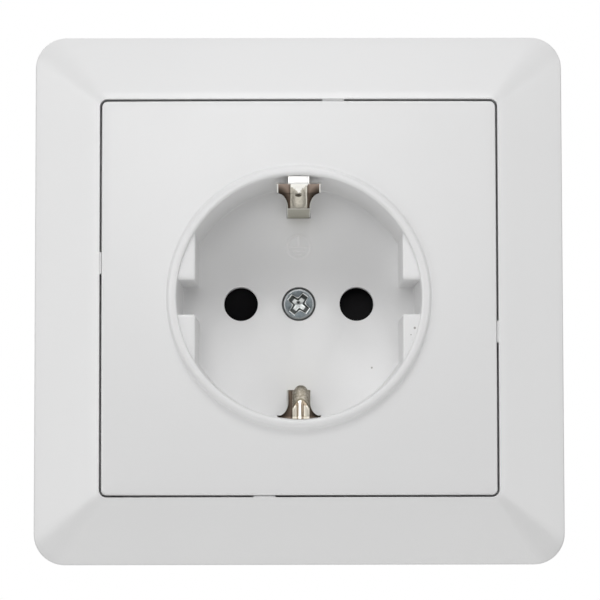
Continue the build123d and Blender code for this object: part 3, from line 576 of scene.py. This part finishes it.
# %% [markdown]
# In the middle the strip has a round collar. It passes through the body's front half and is swaged
# over behind it, and the centre screw is driven into it.

# %% Earth bow
bow_patches, bow_marks = upper_strip + lower_strip, upper_marks + lower_marks
bow_patches += tongue(1, 0.0, (17.95, 1.62), (13.92, 4.7), upper_relief)
bow_patches += tongue(-1, lower_shift, (18.75, 1.0), (13.3, 4.9), lower_relief)
thread_r, disc_r, neck_r, swaged_r = 1.56, 4.6, 2.4, 3.4
collar = [(thread_r, bow_h - 0.05), (thread_r + 0.05, bow_h), (disc_r - 0.1, bow_h), (disc_r, bow_h - 0.1),
          (disc_r, -12.4), (disc_r - 0.1, -12.5), (neck_r, -12.5), (neck_r, -15.0), (swaged_r - 0.1, -15.0),
          (swaged_r, -15.1), (swaged_r, -15.6), (swaged_r - 0.1, -15.7), (thread_r, -15.7),
          (thread_r, bow_h - 0.05)]
bow_patches.append(turned(0, 0, collar, 72))
bow_marks += [np.zeros(len(points)) for points, _ in bow_patches[len(bow_marks):]]
bow = piece("earth_bow_skin", bow_patches, 34, bow_marks)
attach(bow, "socket")
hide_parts("earth_bow")

# %% [markdown]
# ## Centre screw
# A pan head with a cross recess. Seen from above, the recess is a curve round the axis: its
# distance from the middle is 1.78 mm across each arm's end, and it falls back in a hollow flank to
# 0.98 mm half way to the next arm. Rows inside it sink towards the middle, and rows outside it run
# on to the head's rounded edge. Each row has a mark: 1 for a painted highlight, -1 for painted
# shade.

# %% Centre screw
arm_turn, arm_half, arm_reach, flank_reach, flank_swell = 53, 15.9, 1.78, 0.98, 0.871
head_h, head_back, head_r, head_edge, shank_r = floor_h - 0.15, floor_h - 1.8, 2.65, 0.4, 1.5
around = np.linspace(0, 2 * math.pi, 289)[:-1]
from_arm = np.abs((np.degrees(around) - arm_turn + 45) % 90 - 45)
to_arm = np.clip((45 - from_arm) / (45 - arm_half), 0, 1)
recess = np.where(from_arm < arm_half, arm_reach / np.cos(np.radians(from_arm)),
                  flank_reach + flank_swell * to_arm**2.2)
# the head's rounded edge is marked -1 for painted shade, its top edge 0.3 and the recess's edge 1 for painted
# highlights
head = [(shank_r - 0.3, -17.2, 0), (shank_r, -16.9, 0), (shank_r, head_back, 0), (head_r, head_back, -1)]
for t in quarter_turn[::-1]:
    head.append((head_r - head_edge * (1 - math.sin(t)), head_h - head_edge * (1 - math.cos(t)), -1))
head += [(head_r - head_edge, head_h, 0.3), (2.18, head_h, 0), (recess + 0.17, head_h, 0),
         (recess + 0.12, head_h - 0.01, 1)]
# inside the recess: the share of its outline, the depth below the head's top, and the mark: 1 for a painted
# highlight, -1 for painted shade
sinking = ((1, 0.08, 1), (0.98, 0.12, -1), (0.94, 0.5, -1), (0.72, 0.62, -1),
           (0.62, 0.7, 0.8), (0.45, 0.9, 1), (0.25, 1.05, 0.7), (0.02, 1.2, 0.5))
head += [(recess * share, head_h - depth, mark) for share, depth, mark in sinking]
screw_rows = [spot(r * np.cos(around), r * np.sin(around), h) for r, h, _ in head]
screw_patches = [stack(screw_rows), cap(screw_rows[0]), cap(screw_rows[-1])]
screw_marks = [np.repeat([mark for _, _, mark in head], len(around)), np.zeros(len(around)),
               np.full(len(around), 0.5)]
screw = piece("centre_screw_skin", screw_patches, 36, screw_marks)
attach(screw, "socket")
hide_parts("centre_screw")

# %% [markdown]
# ## The insert behind the wall
# What sits in the wall box already has the right shape in the CAD model. Its mesh is loose
# triangles, so a copy of each node is merged, shaded by angle and given a small bevel, which
# catches the light along edges as moulded and punched pieces do.

# %% Copies of the hidden pieces
def dressed(node, body, width):
    """A merged copy of a CAD node with bevelled edges of this width in millimetres."""
    made = settle(node + "_skin", nodes[node].data.copy(), 32)
    made.data.materials.clear()
    if width:
        bevel = made.modifiers.new("edges", "BEVEL")
        bevel.width = width * 0.001
        bevel.segments = 2
        bevel.limit_method = "ANGLE"
        bevel.angle_limit = math.radians(38)
        bevel.use_clamp_overlap = True
        level = made.modifiers.new("flat faces", "WEIGHTED_NORMAL")
        level.weight = 100
        level.keep_sharp = True
    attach(made, body)
    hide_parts(node)
    return made


slots = {entry["node"]: entry["material_slot"] for entry in frame["record"]["subparts"]}
homes = {name: body for body, names in frame["record"]["behaviour"]["bodies"].items() for name in names}
bevels = {"support_ring": 0.1, "ring_rivets": 0.0, "body_front": 0.15, "body_rear": 0.2, "body_screws": 0.06,
          "earth_bar": 0.06, "left_contact": 0.06, "right_contact": 0.06, "left_clamp_spring": 0.04,
          "right_clamp_spring": 0.04, "earth_clamp_spring": 0.04, "shutter_spring": 0.05,
          "shutter_retainer": 0.08, "shutter": 0.1, "left_claw_screw": 0.08, "right_claw_screw": 0.08,
          "left_claw_nut": 0.08, "right_claw_nut": 0.08, "left_claw": 0.08, "right_claw": 0.08,
          "left_release_button": 0.1, "right_release_button": 0.1, "earth_release_button": 0.1}
hidden = {name: dressed(name, homes[name], width) for name, width in bevels.items()}
print("copies of hidden pieces:", len(hidden))

# %% [markdown]
# ## Finishes
# Shader maths is written as plain expressions. A small class wraps an output socket, so that
# 1 - mask or a * b adds a Math node, and one method makes any other node.

# %% The socket class
class Flow:
    """One output socket of a material. Sums, differences, products and quotients of it with numbers
    or other sockets add Math nodes; node() adds any other kind."""

    def __init__(self, tree, socket):
        self.tree, self.socket = tree, socket

    def node(self, kind, settings=None, out=0, **values):
        """Adds a node: first its settings, then the values or links of its inputs, each by its name
        with _ for a space, or by i and its number."""
        made = self.tree.nodes.new(kind)
        for key, value in (settings or {}).items():
            setattr(made, key, value)
        for key, value in values.items():
            place = int(key[1:]) if key[0] == "i" and key[1:].isdigit() else key.replace("_", " ")
            if isinstance(value, Flow):
                self.tree.links.new(value.socket, made.inputs[place])
            else:
                made.inputs[place].default_value = value
        return Flow(self.tree, made.outputs[out])

    def other(self, out):
        """Another output of the same node."""
        return Flow(self.tree, self.socket.node.outputs[out])

    def __add__(self, other):
        return maths("ADD", self, other)

    def __radd__(self, other):
        return maths("ADD", other, self)

    def __sub__(self, other):
        return maths("SUBTRACT", self, other)

    def __rsub__(self, other):
        return maths("SUBTRACT", other, self)

    def __mul__(self, other):
        return maths("MULTIPLY", self, other)

    def __rmul__(self, other):
        return maths("MULTIPLY", other, self)

    def __truediv__(self, other):
        return maths("DIVIDE", self, other)

    def __rtruediv__(self, other):
        return maths("DIVIDE", other, self)


def maths(operation, *values, clamp=False):
    """A Math node of this operation on these values, of which at least one is a Flow."""
    flow = next(value for value in values if isinstance(value, Flow))
    return flow.node("ShaderNodeMath", {"operation": operation, "use_clamp": clamp},
                     **{"i%d" % k: value for k, value in enumerate(values)})


# %% [markdown]
# Every finish starts from a new material and the object's coordinates, which are the CAD model's
# own metres. The helpers below are the ones that the finishes share: the marks that a mesh carries,
# noise, a mask between two values, a mask round a point, a mix of two colours, and a bump.

# %% Helpers for the finishes
def finish_of(name):
    """A new material. Gives it, a Flow of its object coordinates, and its Principled shader."""
    material = bpy.data.materials.new(name)
    material.use_nodes = True
    tree = material.node_tree
    shader = tree.nodes["Principled BSDF"]
    place = tree.nodes.new("ShaderNodeTexCoord")
    return material, Flow(tree, place.outputs["Object"]), shader


def feed(flow, shader, socket):
    """Links a Flow to one of the shader's inputs."""
    flow.tree.links.new(flow.socket, shader.inputs[socket])


def marked(place):
    """The mark that each point of the piece carries."""
    return place.node("ShaderNodeAttribute", {"attribute_name": "mark"}, out=2)


def noise(place, scale, detail=3.0, roughness=0.5):
    """Blender's noise at this scale, in waves per metre, as a value near 0.5."""
    return place.node("ShaderNodeTexNoise", Vector=place, Scale=scale, Detail=detail, Roughness=roughness)


def millimetres(place):
    """The object's x to the right, z up and h out of the wall, in millimetres."""
    x = place.node("ShaderNodeSeparateXYZ", Vector=place)
    return x * 1000.0, x.other(2) * 1000.0, x.other(1) * -1000.0


def ramp(value, low, high):
    """0 at low and 1 at high, even between them and level beyond. low may be the greater."""
    return value.node("ShaderNodeMapRange", Value=value, From_Min=low, From_Max=high, To_Min=0.0, To_Max=1.0)


def near(place, x, z, h, size):
    """1 at a point given in millimetres, falling evenly to 0 at this distance."""
    point = (x * 0.001, -h * 0.001, z * 0.001)
    gap = place.node("ShaderNodeVectorMath", {"operation": "DISTANCE"}, out=1, i0=place, i1=point)
    return ramp(gap, size * 0.001, 0.0)


def blend_colour(amount, first, second):
    """Two colours mixed by an amount: 0 gives the first and 1 the second. A colour is another
    mix, or its red, green and blue."""
    first, second = (tone if isinstance(tone, Flow) else (*tone, 1) for tone in (first, second))
    return amount.node("ShaderNodeMix", {"data_type": "RGBA"}, out=2, i0=amount, i6=first, i7=second)


def bump(height, strength, distance):
    """A Bump node over this height."""
    return height.node("ShaderNodeBump", Height=height, Strength=strength, Distance=distance)


# %% [markdown]
# ### White mouldings
# The frame and plate are glossy white plastic, very slightly cloudy, with the faint orange-peel
# waviness of a polished mould. A few specks of dust lie on the well's floor and on a key, and the
# gloss is broken by faint smears.

# %% White plastic
def white_plastic(name, tone, specks=(), painted_gap_shade_and_sign_sheen=False):
    """Glossy white. specks are (x, z, h, size) of dust. With painted_gap_shade_and_sign_sheen, the gap
    round the centre screw takes painted shade and what is marked takes a paler painted sheen."""
    material, place, shader = finish_of(name)
    cloud = noise(place, 55.0, 3.0)
    smear = noise(place, 140.0, 5.0, 0.6)
    clean = blend_colour(cloud, [t * 0.988 for t in tone], [min(t * 1.008, 1) for t in tone])
    dust = None
    for speck in specks:
        dust = near(place, *speck) if dust is None else maths("MAXIMUM", dust, near(place, *speck))
    if dust is not None:
        dust = maths("MULTIPLY", dust, 1.9, clamp=True)
        clean = blend_colour(dust * 0.75, clean, (0.20, 0.18, 0.15))
    if painted_gap_shade_and_sign_sheen:
        # painted sheen: the marked earth sign is paler than the floor
        clean = blend_colour(marked(place), clean, (0.90, 0.895, 0.90))
        # painted shade on the counterbore's wall in the gap round the centre screw
        x, z, h = millimetres(place)
        radius = maths("SQRT", x * x + z * z)
        gap = ramp(radius, 2.90, 2.78) * ramp(h, floor_h - 0.01, floor_h - 0.08)
        clean = blend_colour(gap, clean, (0.42, 0.42, 0.425))
    feed(clean, shader, "Base Color")
    feed(0.262 + smear * 0.08, shader, "Roughness")
    peel = noise(place, 420.0, 2.0) * 0.7 + noise(place, 2600.0, 2.0) * 0.3
    feed(bump(peel, 0.06, 0.0004), shader, "Normal")
    shader.inputs["IOR"].default_value = 1.49
    return material


white = (0.865, 0.865, 0.868)
dust_specks = ((18.35, -4.97, key_h, 0.24), (11.97, -10.5, floor_h, 0.20), (17.75, -6.05, key_h, 0.12))
frame_white = white_plastic("white_plastic_frame", white)
plate_white = white_plastic("white_plastic_plate", white, dust_specks, True)
print("white finishes:", frame_white.name, "and", plate_white.name)

# %% [markdown]
# ### Metals
# Nickel plate on the clips is warm and bright, with fine drawing lines, and brown tarnish and a
# painted dark reflection on the slanting faces; highlights and shade on the clips are painted too.
# The screws are zinc, bluish and grey; the ring is galvanised sheet with its frost-like spangle;
# the contacts are brass and the springs are blued steel.

# %% Nickel plate
def slanting_faces(side, reach, h, below, off_middle, lines, patches, slant):
    """The strip without its tongues: dull feet, and above the crease brown tarnish and a painted dark
    reflection, which grow paler towards the upper wings, with painted shade round a hollow at each
    wing's edge and beside the tongue."""
    across = (side - wing_half) / 1.65
    along_z = (reach - (14.75 + below * 2.15)) / swell
    hollow = across * across + along_z * along_z
    # painted shade round a hollow at each wing's edge and beside the tongue
    shade = maths("MAXIMUM", ramp(hollow, 2.3, 1.1), ramp(off_middle, 1.75, 1.4) * 0.6)
    climb = ramp(h, 7.6, 9.7) * (1.0 - below)
    # brown tarnish together with a painted dark reflection, paler higher up; the painted shade takes it to
    # near black
    tarnish_and_dark_reflection = blend_colour(maths("MAXIMUM", climb, lines * 0.5), (0.150, 0.110, 0.080), (0.26, 0.205, 0.172))
    tarnish_and_dark_reflection = blend_colour(shade * (0.75 + patches * 0.35), tarnish_and_dark_reflection, (0.016, 0.011, 0.007))
    foot = blend_colour(lines, (0.47, 0.45, 0.36), (0.60, 0.58, 0.48))
    return blend_colour(slant, foot, tarnish_and_dark_reflection)


def upper_details(body, x, reach, mottle, patches, off_middle, on_slant):
    """The upper clip's painted highlight in a V with ragged sides, painted shade in its dimple and a
    painted highlight line along the tongue's side.
    """
    opened = (reach - 16.77) * 1.15
    # painted highlight in a V with ragged sides
    vee = ramp(opened - off_middle + (mottle - 0.5) * 2.2, -0.2, 0.2) * on_slant
    body = blend_colour(vee * (0.68 + patches * 0.5), body, (0.93, 0.92, 0.88))
    # painted shade in the dimple
    dx, dz = (x + 0.08) * 2.0, (reach - 16.38) * 4.6
    dimple = ramp(dx * dx + dz * dz, 1.25, 0.8) * on_slant
    body = blend_colour(dimple * 0.95, body, (0.035, 0.030, 0.022))
    # painted highlight along the tongue's side
    tongue_side_highlight = ramp(maths("ABSOLUTE", x - 1.2), 0.12, 0.05) * on_slant
    tongue_side_highlight = tongue_side_highlight * ramp(reach, 14.8, 15.2) * ramp(reach, 17.8, 17.6)
    return blend_colour(tongue_side_highlight * 0.8, body, (0.80, 0.78, 0.71))


def lower_details(body, x, reach, centred, on_tongue):
    """The lower clip's brown hollow under the arch, with a painted shade line along the arch and
    painted highlights on a middle rib and two side ribs.
    """
    down = (18.45 - reach) / 4.9
    u = centred / tongue_half
    arch = down - 0.46 + u * u * 0.26
    under = ramp(arch, 0.0, -0.03) * on_tongue
    # painted shade along the arch's step
    arch_shade_line = ramp(maths("ABSOLUTE", arch), 0.055, 0.015) * on_tongue
    middle_rib = ramp(maths("ABSOLUTE", x - 0.105), 0.30, 0.22)
    side_rib = (ramp(x, -0.33, -0.41) + ramp(x, 0.65, 0.73)) * ramp(down, 0.27, 0.24)
    body = blend_colour(under, body, (0.33, 0.27, 0.205))
    # painted highlights on the middle rib and the two side ribs
    rib_highlight_tone = blend_colour(middle_rib, (0.66, 0.62, 0.54), (0.90, 0.87, 0.81))
    body = blend_colour(under * maths("MAXIMUM", middle_rib, side_rib), body, rib_highlight_tone)
    return blend_colour(arch_shade_line * 0.85, body, (0.13, 0.115, 0.080))


def nickel():
    """The strip: painted highlights on the tip, the V, the wings' outer sides, the crease and the sheared
    edges; slants in tarnish and a painted dark reflection, with painted shade towards the wings'
    hollow edges; mottled tongues and dull feet; each a mask over the millimetres."""
    material, place, shader = finish_of("nickel_strip")
    x, z, h = millimetres(place)
    drawn = place.node("ShaderNodeMapping", Vector=place, Scale=(1.0, 0.12, 0.12))
    lines = noise(drawn, 5200.0, 4.0, 0.65)
    patches = noise(place, 900.0, 4.0, 0.6)
    mottle = noise(place, 2400.0, 3.0, 0.6)
    below = ramp(z, 0.0, -0.1)
    above = 1.0 - below
    reach, side = maths("ABSOLUTE", z), maths("ABSOLUTE", x)
    slant = ramp(h, 6.1, 6.25)
    centred = x - below * lower_shift
    off_middle = maths("ABSOLUTE", centred)
    on_tongue = ramp(off_middle, 1.38, tongue_half) * slant
    tongue_tone = blend_colour(ramp(mottle * 0.7 + patches * 0.3, 0.36, 0.62),
                               (0.19, 0.168, 0.13), (0.44, 0.405, 0.345))
    tongue_tone = blend_colour(above * 0.38, tongue_tone, (0.82, 0.79, 0.70))
    body = slanting_faces(side, reach, h, below, off_middle, lines, patches, slant)
    body = blend_colour(on_tongue, body, tongue_tone)
    body = upper_details(body, x, reach, mottle, patches, off_middle, above * slant)
    body = lower_details(body, x, reach, centred, below * on_tongue)
    # painted highlights on the narrow tip, along the wings' outer sides and on the crease, all of the upper
    # clip
    tip = ramp(reach, 18.0, 18.1) * above * ramp(side, 1.8, 1.72)
    body = blend_colour(tip, body, (0.98, 0.975, 0.96))
    outer_side_highlight = ramp(side, 3.24, 3.34) * above * slant
    body = blend_colour(outer_side_highlight * 0.9, body, (0.97, 0.96, 0.93))
    crease = ramp(maths("ABSOLUTE", reach - 14.46), 0.16, 0.06) * above
    crease = crease * ramp(h, 6.4, 6.2) * ramp(h, 5.4, 5.7)
    body = blend_colour(crease * 0.7, body, (0.92, 0.91, 0.86))
    # painted highlight on the sheared edges, which carry the mark
    feed(blend_colour(marked(place) * 0.85, body, (0.95, 0.94, 0.90)), shader, "Base Color")
    shader.inputs["Metallic"].default_value = 1.0
    feed(0.24 + lines * 0.16 + patches * 0.08 + on_tongue * 0.1, shader, "Roughness")
    feed(bump(lines * (1.0 - on_tongue) + mottle * on_tongue, 0.18, 0.00004), shader, "Normal")
    return material


# %% [markdown]
# The centre screw has a dark blued look in the light of the well. Its recess has a painted highlight
# in the middle and along its edge and painted shade down its arms, and the head's rounded edge by the
# gap round it has grey painted shade.

# %% Centre screw's zinc
def zinc_head():
    """The head: a mottled dark face with a painted highlight where it is marked 1, and painted shade where
    it is marked -1 or near a spot deep in the recess, near black inside the recess and grey on the
    head's rounded edge."""
    material, place, shader = finish_of("zinc_screw_head")
    mark = marked(place)
    cloud = noise(place, 1500.0, 4.0, 0.65)
    face = blend_colour(ramp(cloud, 0.3, 0.7), (0.080, 0.095, 0.102), (0.165, 0.185, 0.195))
    # painted highlight where the head is marked 1
    lit = blend_colour(ramp(mark, 0.05, 0.95), face, (0.93, 0.95, 0.94))
    # painted shade round a spot deep in the recess
    recess_shade_spot = near(place, -0.05, 0.3, head_h - 0.95, 0.42)
    dark = maths("MAXIMUM", ramp(mark, -0.1, -0.8), ramp(recess_shade_spot, 0.0, 0.5))
    x, z, _ = millimetres(place)
    # the painted shade is grey on the head's rounded edge and near black inside the recess
    round_the_head = ramp(x * x + z * z, 4.6, 5.2)
    shadow = blend_colour(round_the_head, (0.065, 0.070, 0.068), (0.34, 0.355, 0.36))
    feed(blend_colour(dark, lit, shadow), shader, "Base Color")
    shader.inputs["Metallic"].default_value = 1.0
    feed(0.30 + cloud * 0.18, shader, "Roughness")
    feed(bump(noise(place, 6500.0, 3.0), 0.3, 0.00004), shader, "Normal")
    return material


# %% [markdown]
# The metals behind the wall differ in tone, gloss and grain only, so one function makes them all.
# Zinc that was dipped on hot has cells like frost on a window, which are Voronoi cells here.

# %% Other metals
def plain_metal(name, low, high, rough, grain, strength, spangle=0.0):
    """A bare or plated metal: two tones mixed by noise or by frost-like cells, and a fine bump."""
    material, place, shader = finish_of(name)
    cloud = noise(place, grain, 4.0, 0.6)
    if spangle:
        cells = place.node("ShaderNodeTexVoronoi", {"feature": "SMOOTH_F1"},
                           Vector=place, Scale=spangle, Smoothness=0.1)
        tint = place.node("ShaderNodeTexVoronoi", {"feature": "F1"}, out=1, Vector=place, Scale=spangle)
        shade = tint.node("ShaderNodeSeparateColor", Color=tint)
        cloud = cloud * 0.45 + shade * 0.4 + cells * 0.3
    feed(blend_colour(cloud, low, high), shader, "Base Color")
    shader.inputs["Metallic"].default_value = 1.0
    feed(rough - 0.08 + cloud * 0.16, shader, "Roughness")
    feed(bump(noise(place, grain * 5, 3.0), strength, 0.00005), shader, "Normal")
    return material


metal_tones = {
    "zinc_screws": ((0.36, 0.40, 0.42), (0.60, 0.64, 0.66), 0.34, 1600.0, 0.35),
    "galvanised_sheet": ((0.50, 0.52, 0.54), (0.68, 0.70, 0.72), 0.42, 300.0, 0.15, 260.0),
    "brass_strip": ((0.66, 0.46, 0.19), (0.82, 0.62, 0.30), 0.28, 500.0, 0.12),
    "spring_steel": ((0.28, 0.29, 0.31), (0.42, 0.43, 0.46), 0.32, 700.0, 0.12),
}
metals = {name: plain_metal(name, *tones) for name, tones in metal_tones.items()}
metals["nickel_strip"] = nickel()
print("metals:", sorted(metals))

# %% [markdown]
# ### Coloured plastics
# The body of the insert is a black, mineral-filled moulding. The shutter's black is darkened further
# as painted shade behind the pin holes and is slightly purple, the disc that holds it is grey, and
# the release buttons are orange.

# %% Coloured plastics
def moulded(name, low, high, rough, grain, strength, shine=0.5):
    """A coloured moulding: two near tones, and a fine spark-eroded grain in the bump and the gloss."""
    material, place, shader = finish_of(name)
    cloud = noise(place, 90.0, 4.0, 0.55)
    fine = noise(place, grain, 3.0, 0.6)
    feed(blend_colour(cloud * 0.6 + fine * 0.4, low, high), shader, "Base Color")
    feed(rough - 0.06 + fine * 0.12, shader, "Roughness")
    feed(bump(fine, strength, 0.00006), shader, "Normal")
    shader.inputs["Specular IOR Level"].default_value = shine
    return material


plastic_tones = {
    "black_plastic": ((0.016, 0.016, 0.018), (0.030, 0.030, 0.033), 0.42, 2600.0, 0.3),
    # the shutter's black is darkened further as painted shade behind the pin holes
    "shutter_black_with_painted_shade": ((0.0022, 0.0022, 0.0026), (0.0065, 0.006, 0.0075), 0.5, 2200.0, 0.2, 0.07),
    "grey_plastic": ((0.30, 0.31, 0.32), (0.38, 0.39, 0.40), 0.48, 2600.0, 0.3),
    "orange_plastic": ((0.70, 0.20, 0.03), (0.82, 0.27, 0.05), 0.36, 2400.0, 0.15),
}
plastics = {name: moulded(name, *tones) for name, tones in plastic_tones.items()}
print("coloured plastics:", sorted(plastics))

# %% [markdown]
# Each new piece now gets its finish. The CAD nodes are hidden behind their pieces, but each of
# them gets the finish of its slot as well, so that none is left plain.

# %% Give each piece its finish
finishes = {**metals, **plastics, "white_plastic": frame_white}
for name, made in hidden.items():
    # the shutter gets the black with painted shade
    made.data.materials.append(finishes["shutter_black_with_painted_shade" if name == "shutter" else slots[name]])
in_front = ((cover, frame_white), (plate, plate_white), (bow, metals["nickel_strip"]), (screw, zinc_head()))
for made, material in in_front:
    made.data.materials.append(material)
for name, node in nodes.items():
    node.data.materials.clear()
    node.data.materials.append(finishes[slots[name]])
print("finishes:", sorted(finishes))

# %% [markdown]
# ## Camera, light and floor
# The picture is taken from 450 mm in front of the rim and a little below it, looking up four
# degrees, with a long lens. The image is 600 pixels square, and one pixel at the rim is 0.158 mm.

# %% Camera
scene = bpy.context.scene
focal_px, image_px, sensor_mm = 2843, 600, 36
lens_data = bpy.data.cameras.new("picture")
lens_data.sensor_fit = "AUTO"
lens_data.sensor_width = sensor_mm
lens_data.lens = focal_px / image_px * sensor_mm
lens_data.clip_start = 0.01
lens_data.clip_end = 20.0
camera = bpy.data.objects.new("picture", lens_data)
scene.collection.objects.link(camera)
camera.location = (-0.001, -0.4604, -0.0322)
to_rim = Vector((0.0, -rim_h * 0.001, 0.0)) - camera.location
# the middle of the well lies 1 pixel left of the image's middle and 3.6 pixels above it
azimuth = math.atan2(to_rim.x, to_rim.y) + 1.0 / focal_px
elevation = math.atan2(to_rim.z, math.hypot(to_rim.x, to_rim.y)) - 3.6 / focal_px
level = math.cos(elevation)
gaze = Vector((math.sin(azimuth) * level, math.cos(azimuth) * level, math.sin(elevation)))
camera.rotation_mode = "QUATERNION"
camera.rotation_quaternion = gaze.to_track_quat("-Z", "Y") @ Quaternion((0, 0, 1), math.radians(-0.1))
scene.camera = camera
print("the camera looks up by", round(math.degrees(elevation), 2), "degrees")

# %% [markdown]
# Soft lamps from above, the left, below and near the lens light the socket at a plain level. Three
# more are seen in its gloss only, so they shape the reflections on the plate and the clips and
# leave the colours alone.

# %% Light
def lamp(name, place, size, power, gloss_only=False):
    """A square soft lamp that looks at the middle of the socket. One that is for gloss only lights
    nothing, and is seen just in reflections."""
    data = bpy.data.lights.new(name, "AREA")
    data.shape = "SQUARE"
    data.size = size
    data.energy = power
    made = bpy.data.objects.new(name, data)
    made.location = place
    made.rotation_euler = (-Vector(place)).to_track_quat("-Z", "Y").to_euler()
    made.visible_camera = False
    made.visible_diffuse = not gloss_only
    scene.collection.objects.link(made)


lamp("top", (0, -0.27, 0.30), 0.16, 0.262)
lamp("left", (-0.35, -0.35, 0.05), 0.2, 0.168)
lamp("bottom", (0, -0.15, -0.33), 0.3, 0.27)
lamp("near", (0, -0.12, 0.16), 0.08, 0.038)
lamp("front", (-0.05, -0.45, 0.10), 0.12, 0.143)
lamp("front gloss", (0, -0.6, 0.12), 0.14, 0.168, True)
lamp("left gloss", (-0.5, -0.35, 0.05), 0.5, 1.67, True)
lamp("right gloss", (0.5, -0.35, 0.05), 0.5, 1.55, True)

# %% [markdown]
# The plate is so glossy that it would mirror the white room evenly. A photographer hangs a dark card
# beside the lens for that, which only the reflections see.

# %% Dark card
def quad(name, corners):
    """An object with one face over four corners, in metres."""
    mesh = bpy.data.meshes.new(name)
    mesh.from_pydata(corners, [], [(0, 1, 2, 3)])
    made = bpy.data.objects.new(name, mesh)
    scene.collection.objects.link(made)
    return made


left, right, low, high, away = -0.08, 0.11, -0.30, 0.03, -0.6
card = quad("dark_card", [(left, away, low), (right, away, low), (right, away, high), (left, away, high)])
felt, place, shader = finish_of("black_felt")
feed(blend_colour(noise(place, 400.0), (0.0, 0.0, 0.0), (0.004, 0.004, 0.004)), shader, "Base Color")
shader.inputs["Specular IOR Level"].default_value = 0.0
shader.inputs["Roughness"].default_value = 1.0
card.data.materials.append(felt)
card.visible_camera = card.visible_diffuse = card.visible_shadow = card.visible_transmission = False

# %% [markdown]
# The room is white all round. It lights the socket softly at less than half of white, and is full
# white where the camera, a reflection or glass sees it.

# %% Room
room_light, white_level = 0.47, 1.0
world = bpy.data.worlds.new("studio")
scene.world = world
world.use_nodes = True
tree = world.node_tree
tree.nodes.clear()
rays = tree.nodes.new("ShaderNodeLightPath")
seen = Flow(tree, rays.outputs["Is Camera Ray"])
for label in ("Is Glossy Ray", "Is Transmission Ray"):
    seen = maths("MAXIMUM", seen, Flow(tree, rays.outputs[label]))
room, plain = tree.nodes.new("ShaderNodeBackground"), tree.nodes.new("ShaderNodeBackground")
for background, strength in ((room, room_light), (plain, white_level)):
    background.inputs["Strength"].default_value = strength
    background.inputs["Color"].default_value = (1, 1, 1, 1)
mixed = tree.nodes.new("ShaderNodeMixShader")
tree.links.new(seen.socket, mixed.inputs[0])
tree.links.new(room.outputs[0], mixed.inputs[1])
tree.links.new(plain.outputs[0], mixed.inputs[2])
out = tree.nodes.new("ShaderNodeOutputWorld")
tree.links.new(mixed.outputs[0], out.inputs[0])

# %% [markdown]
# The floor is a wide sheet of pale paper. It lies well below the socket, out of the picture, so
# it gives no more than soft light from below.

# %% Floor
far, floor_z = 2.5, -0.4
floor_corners = [(-far, -far), (far, -far), (far, far), (-far, far)]
floor = quad("floor", [(x, y, floor_z) for x, y in floor_corners])
paper, place, shader = finish_of("pale_floor")
feed(blend_colour(noise(place, 30.0), (0.80, 0.80, 0.79), (0.84, 0.84, 0.83)), shader, "Base Color")
shader.inputs["Roughness"].default_value = 0.7
shader.inputs["Specular IOR Level"].default_value = 0.0
floor.data.materials.append(paper)
scene.view_settings.view_transform = "Standard"
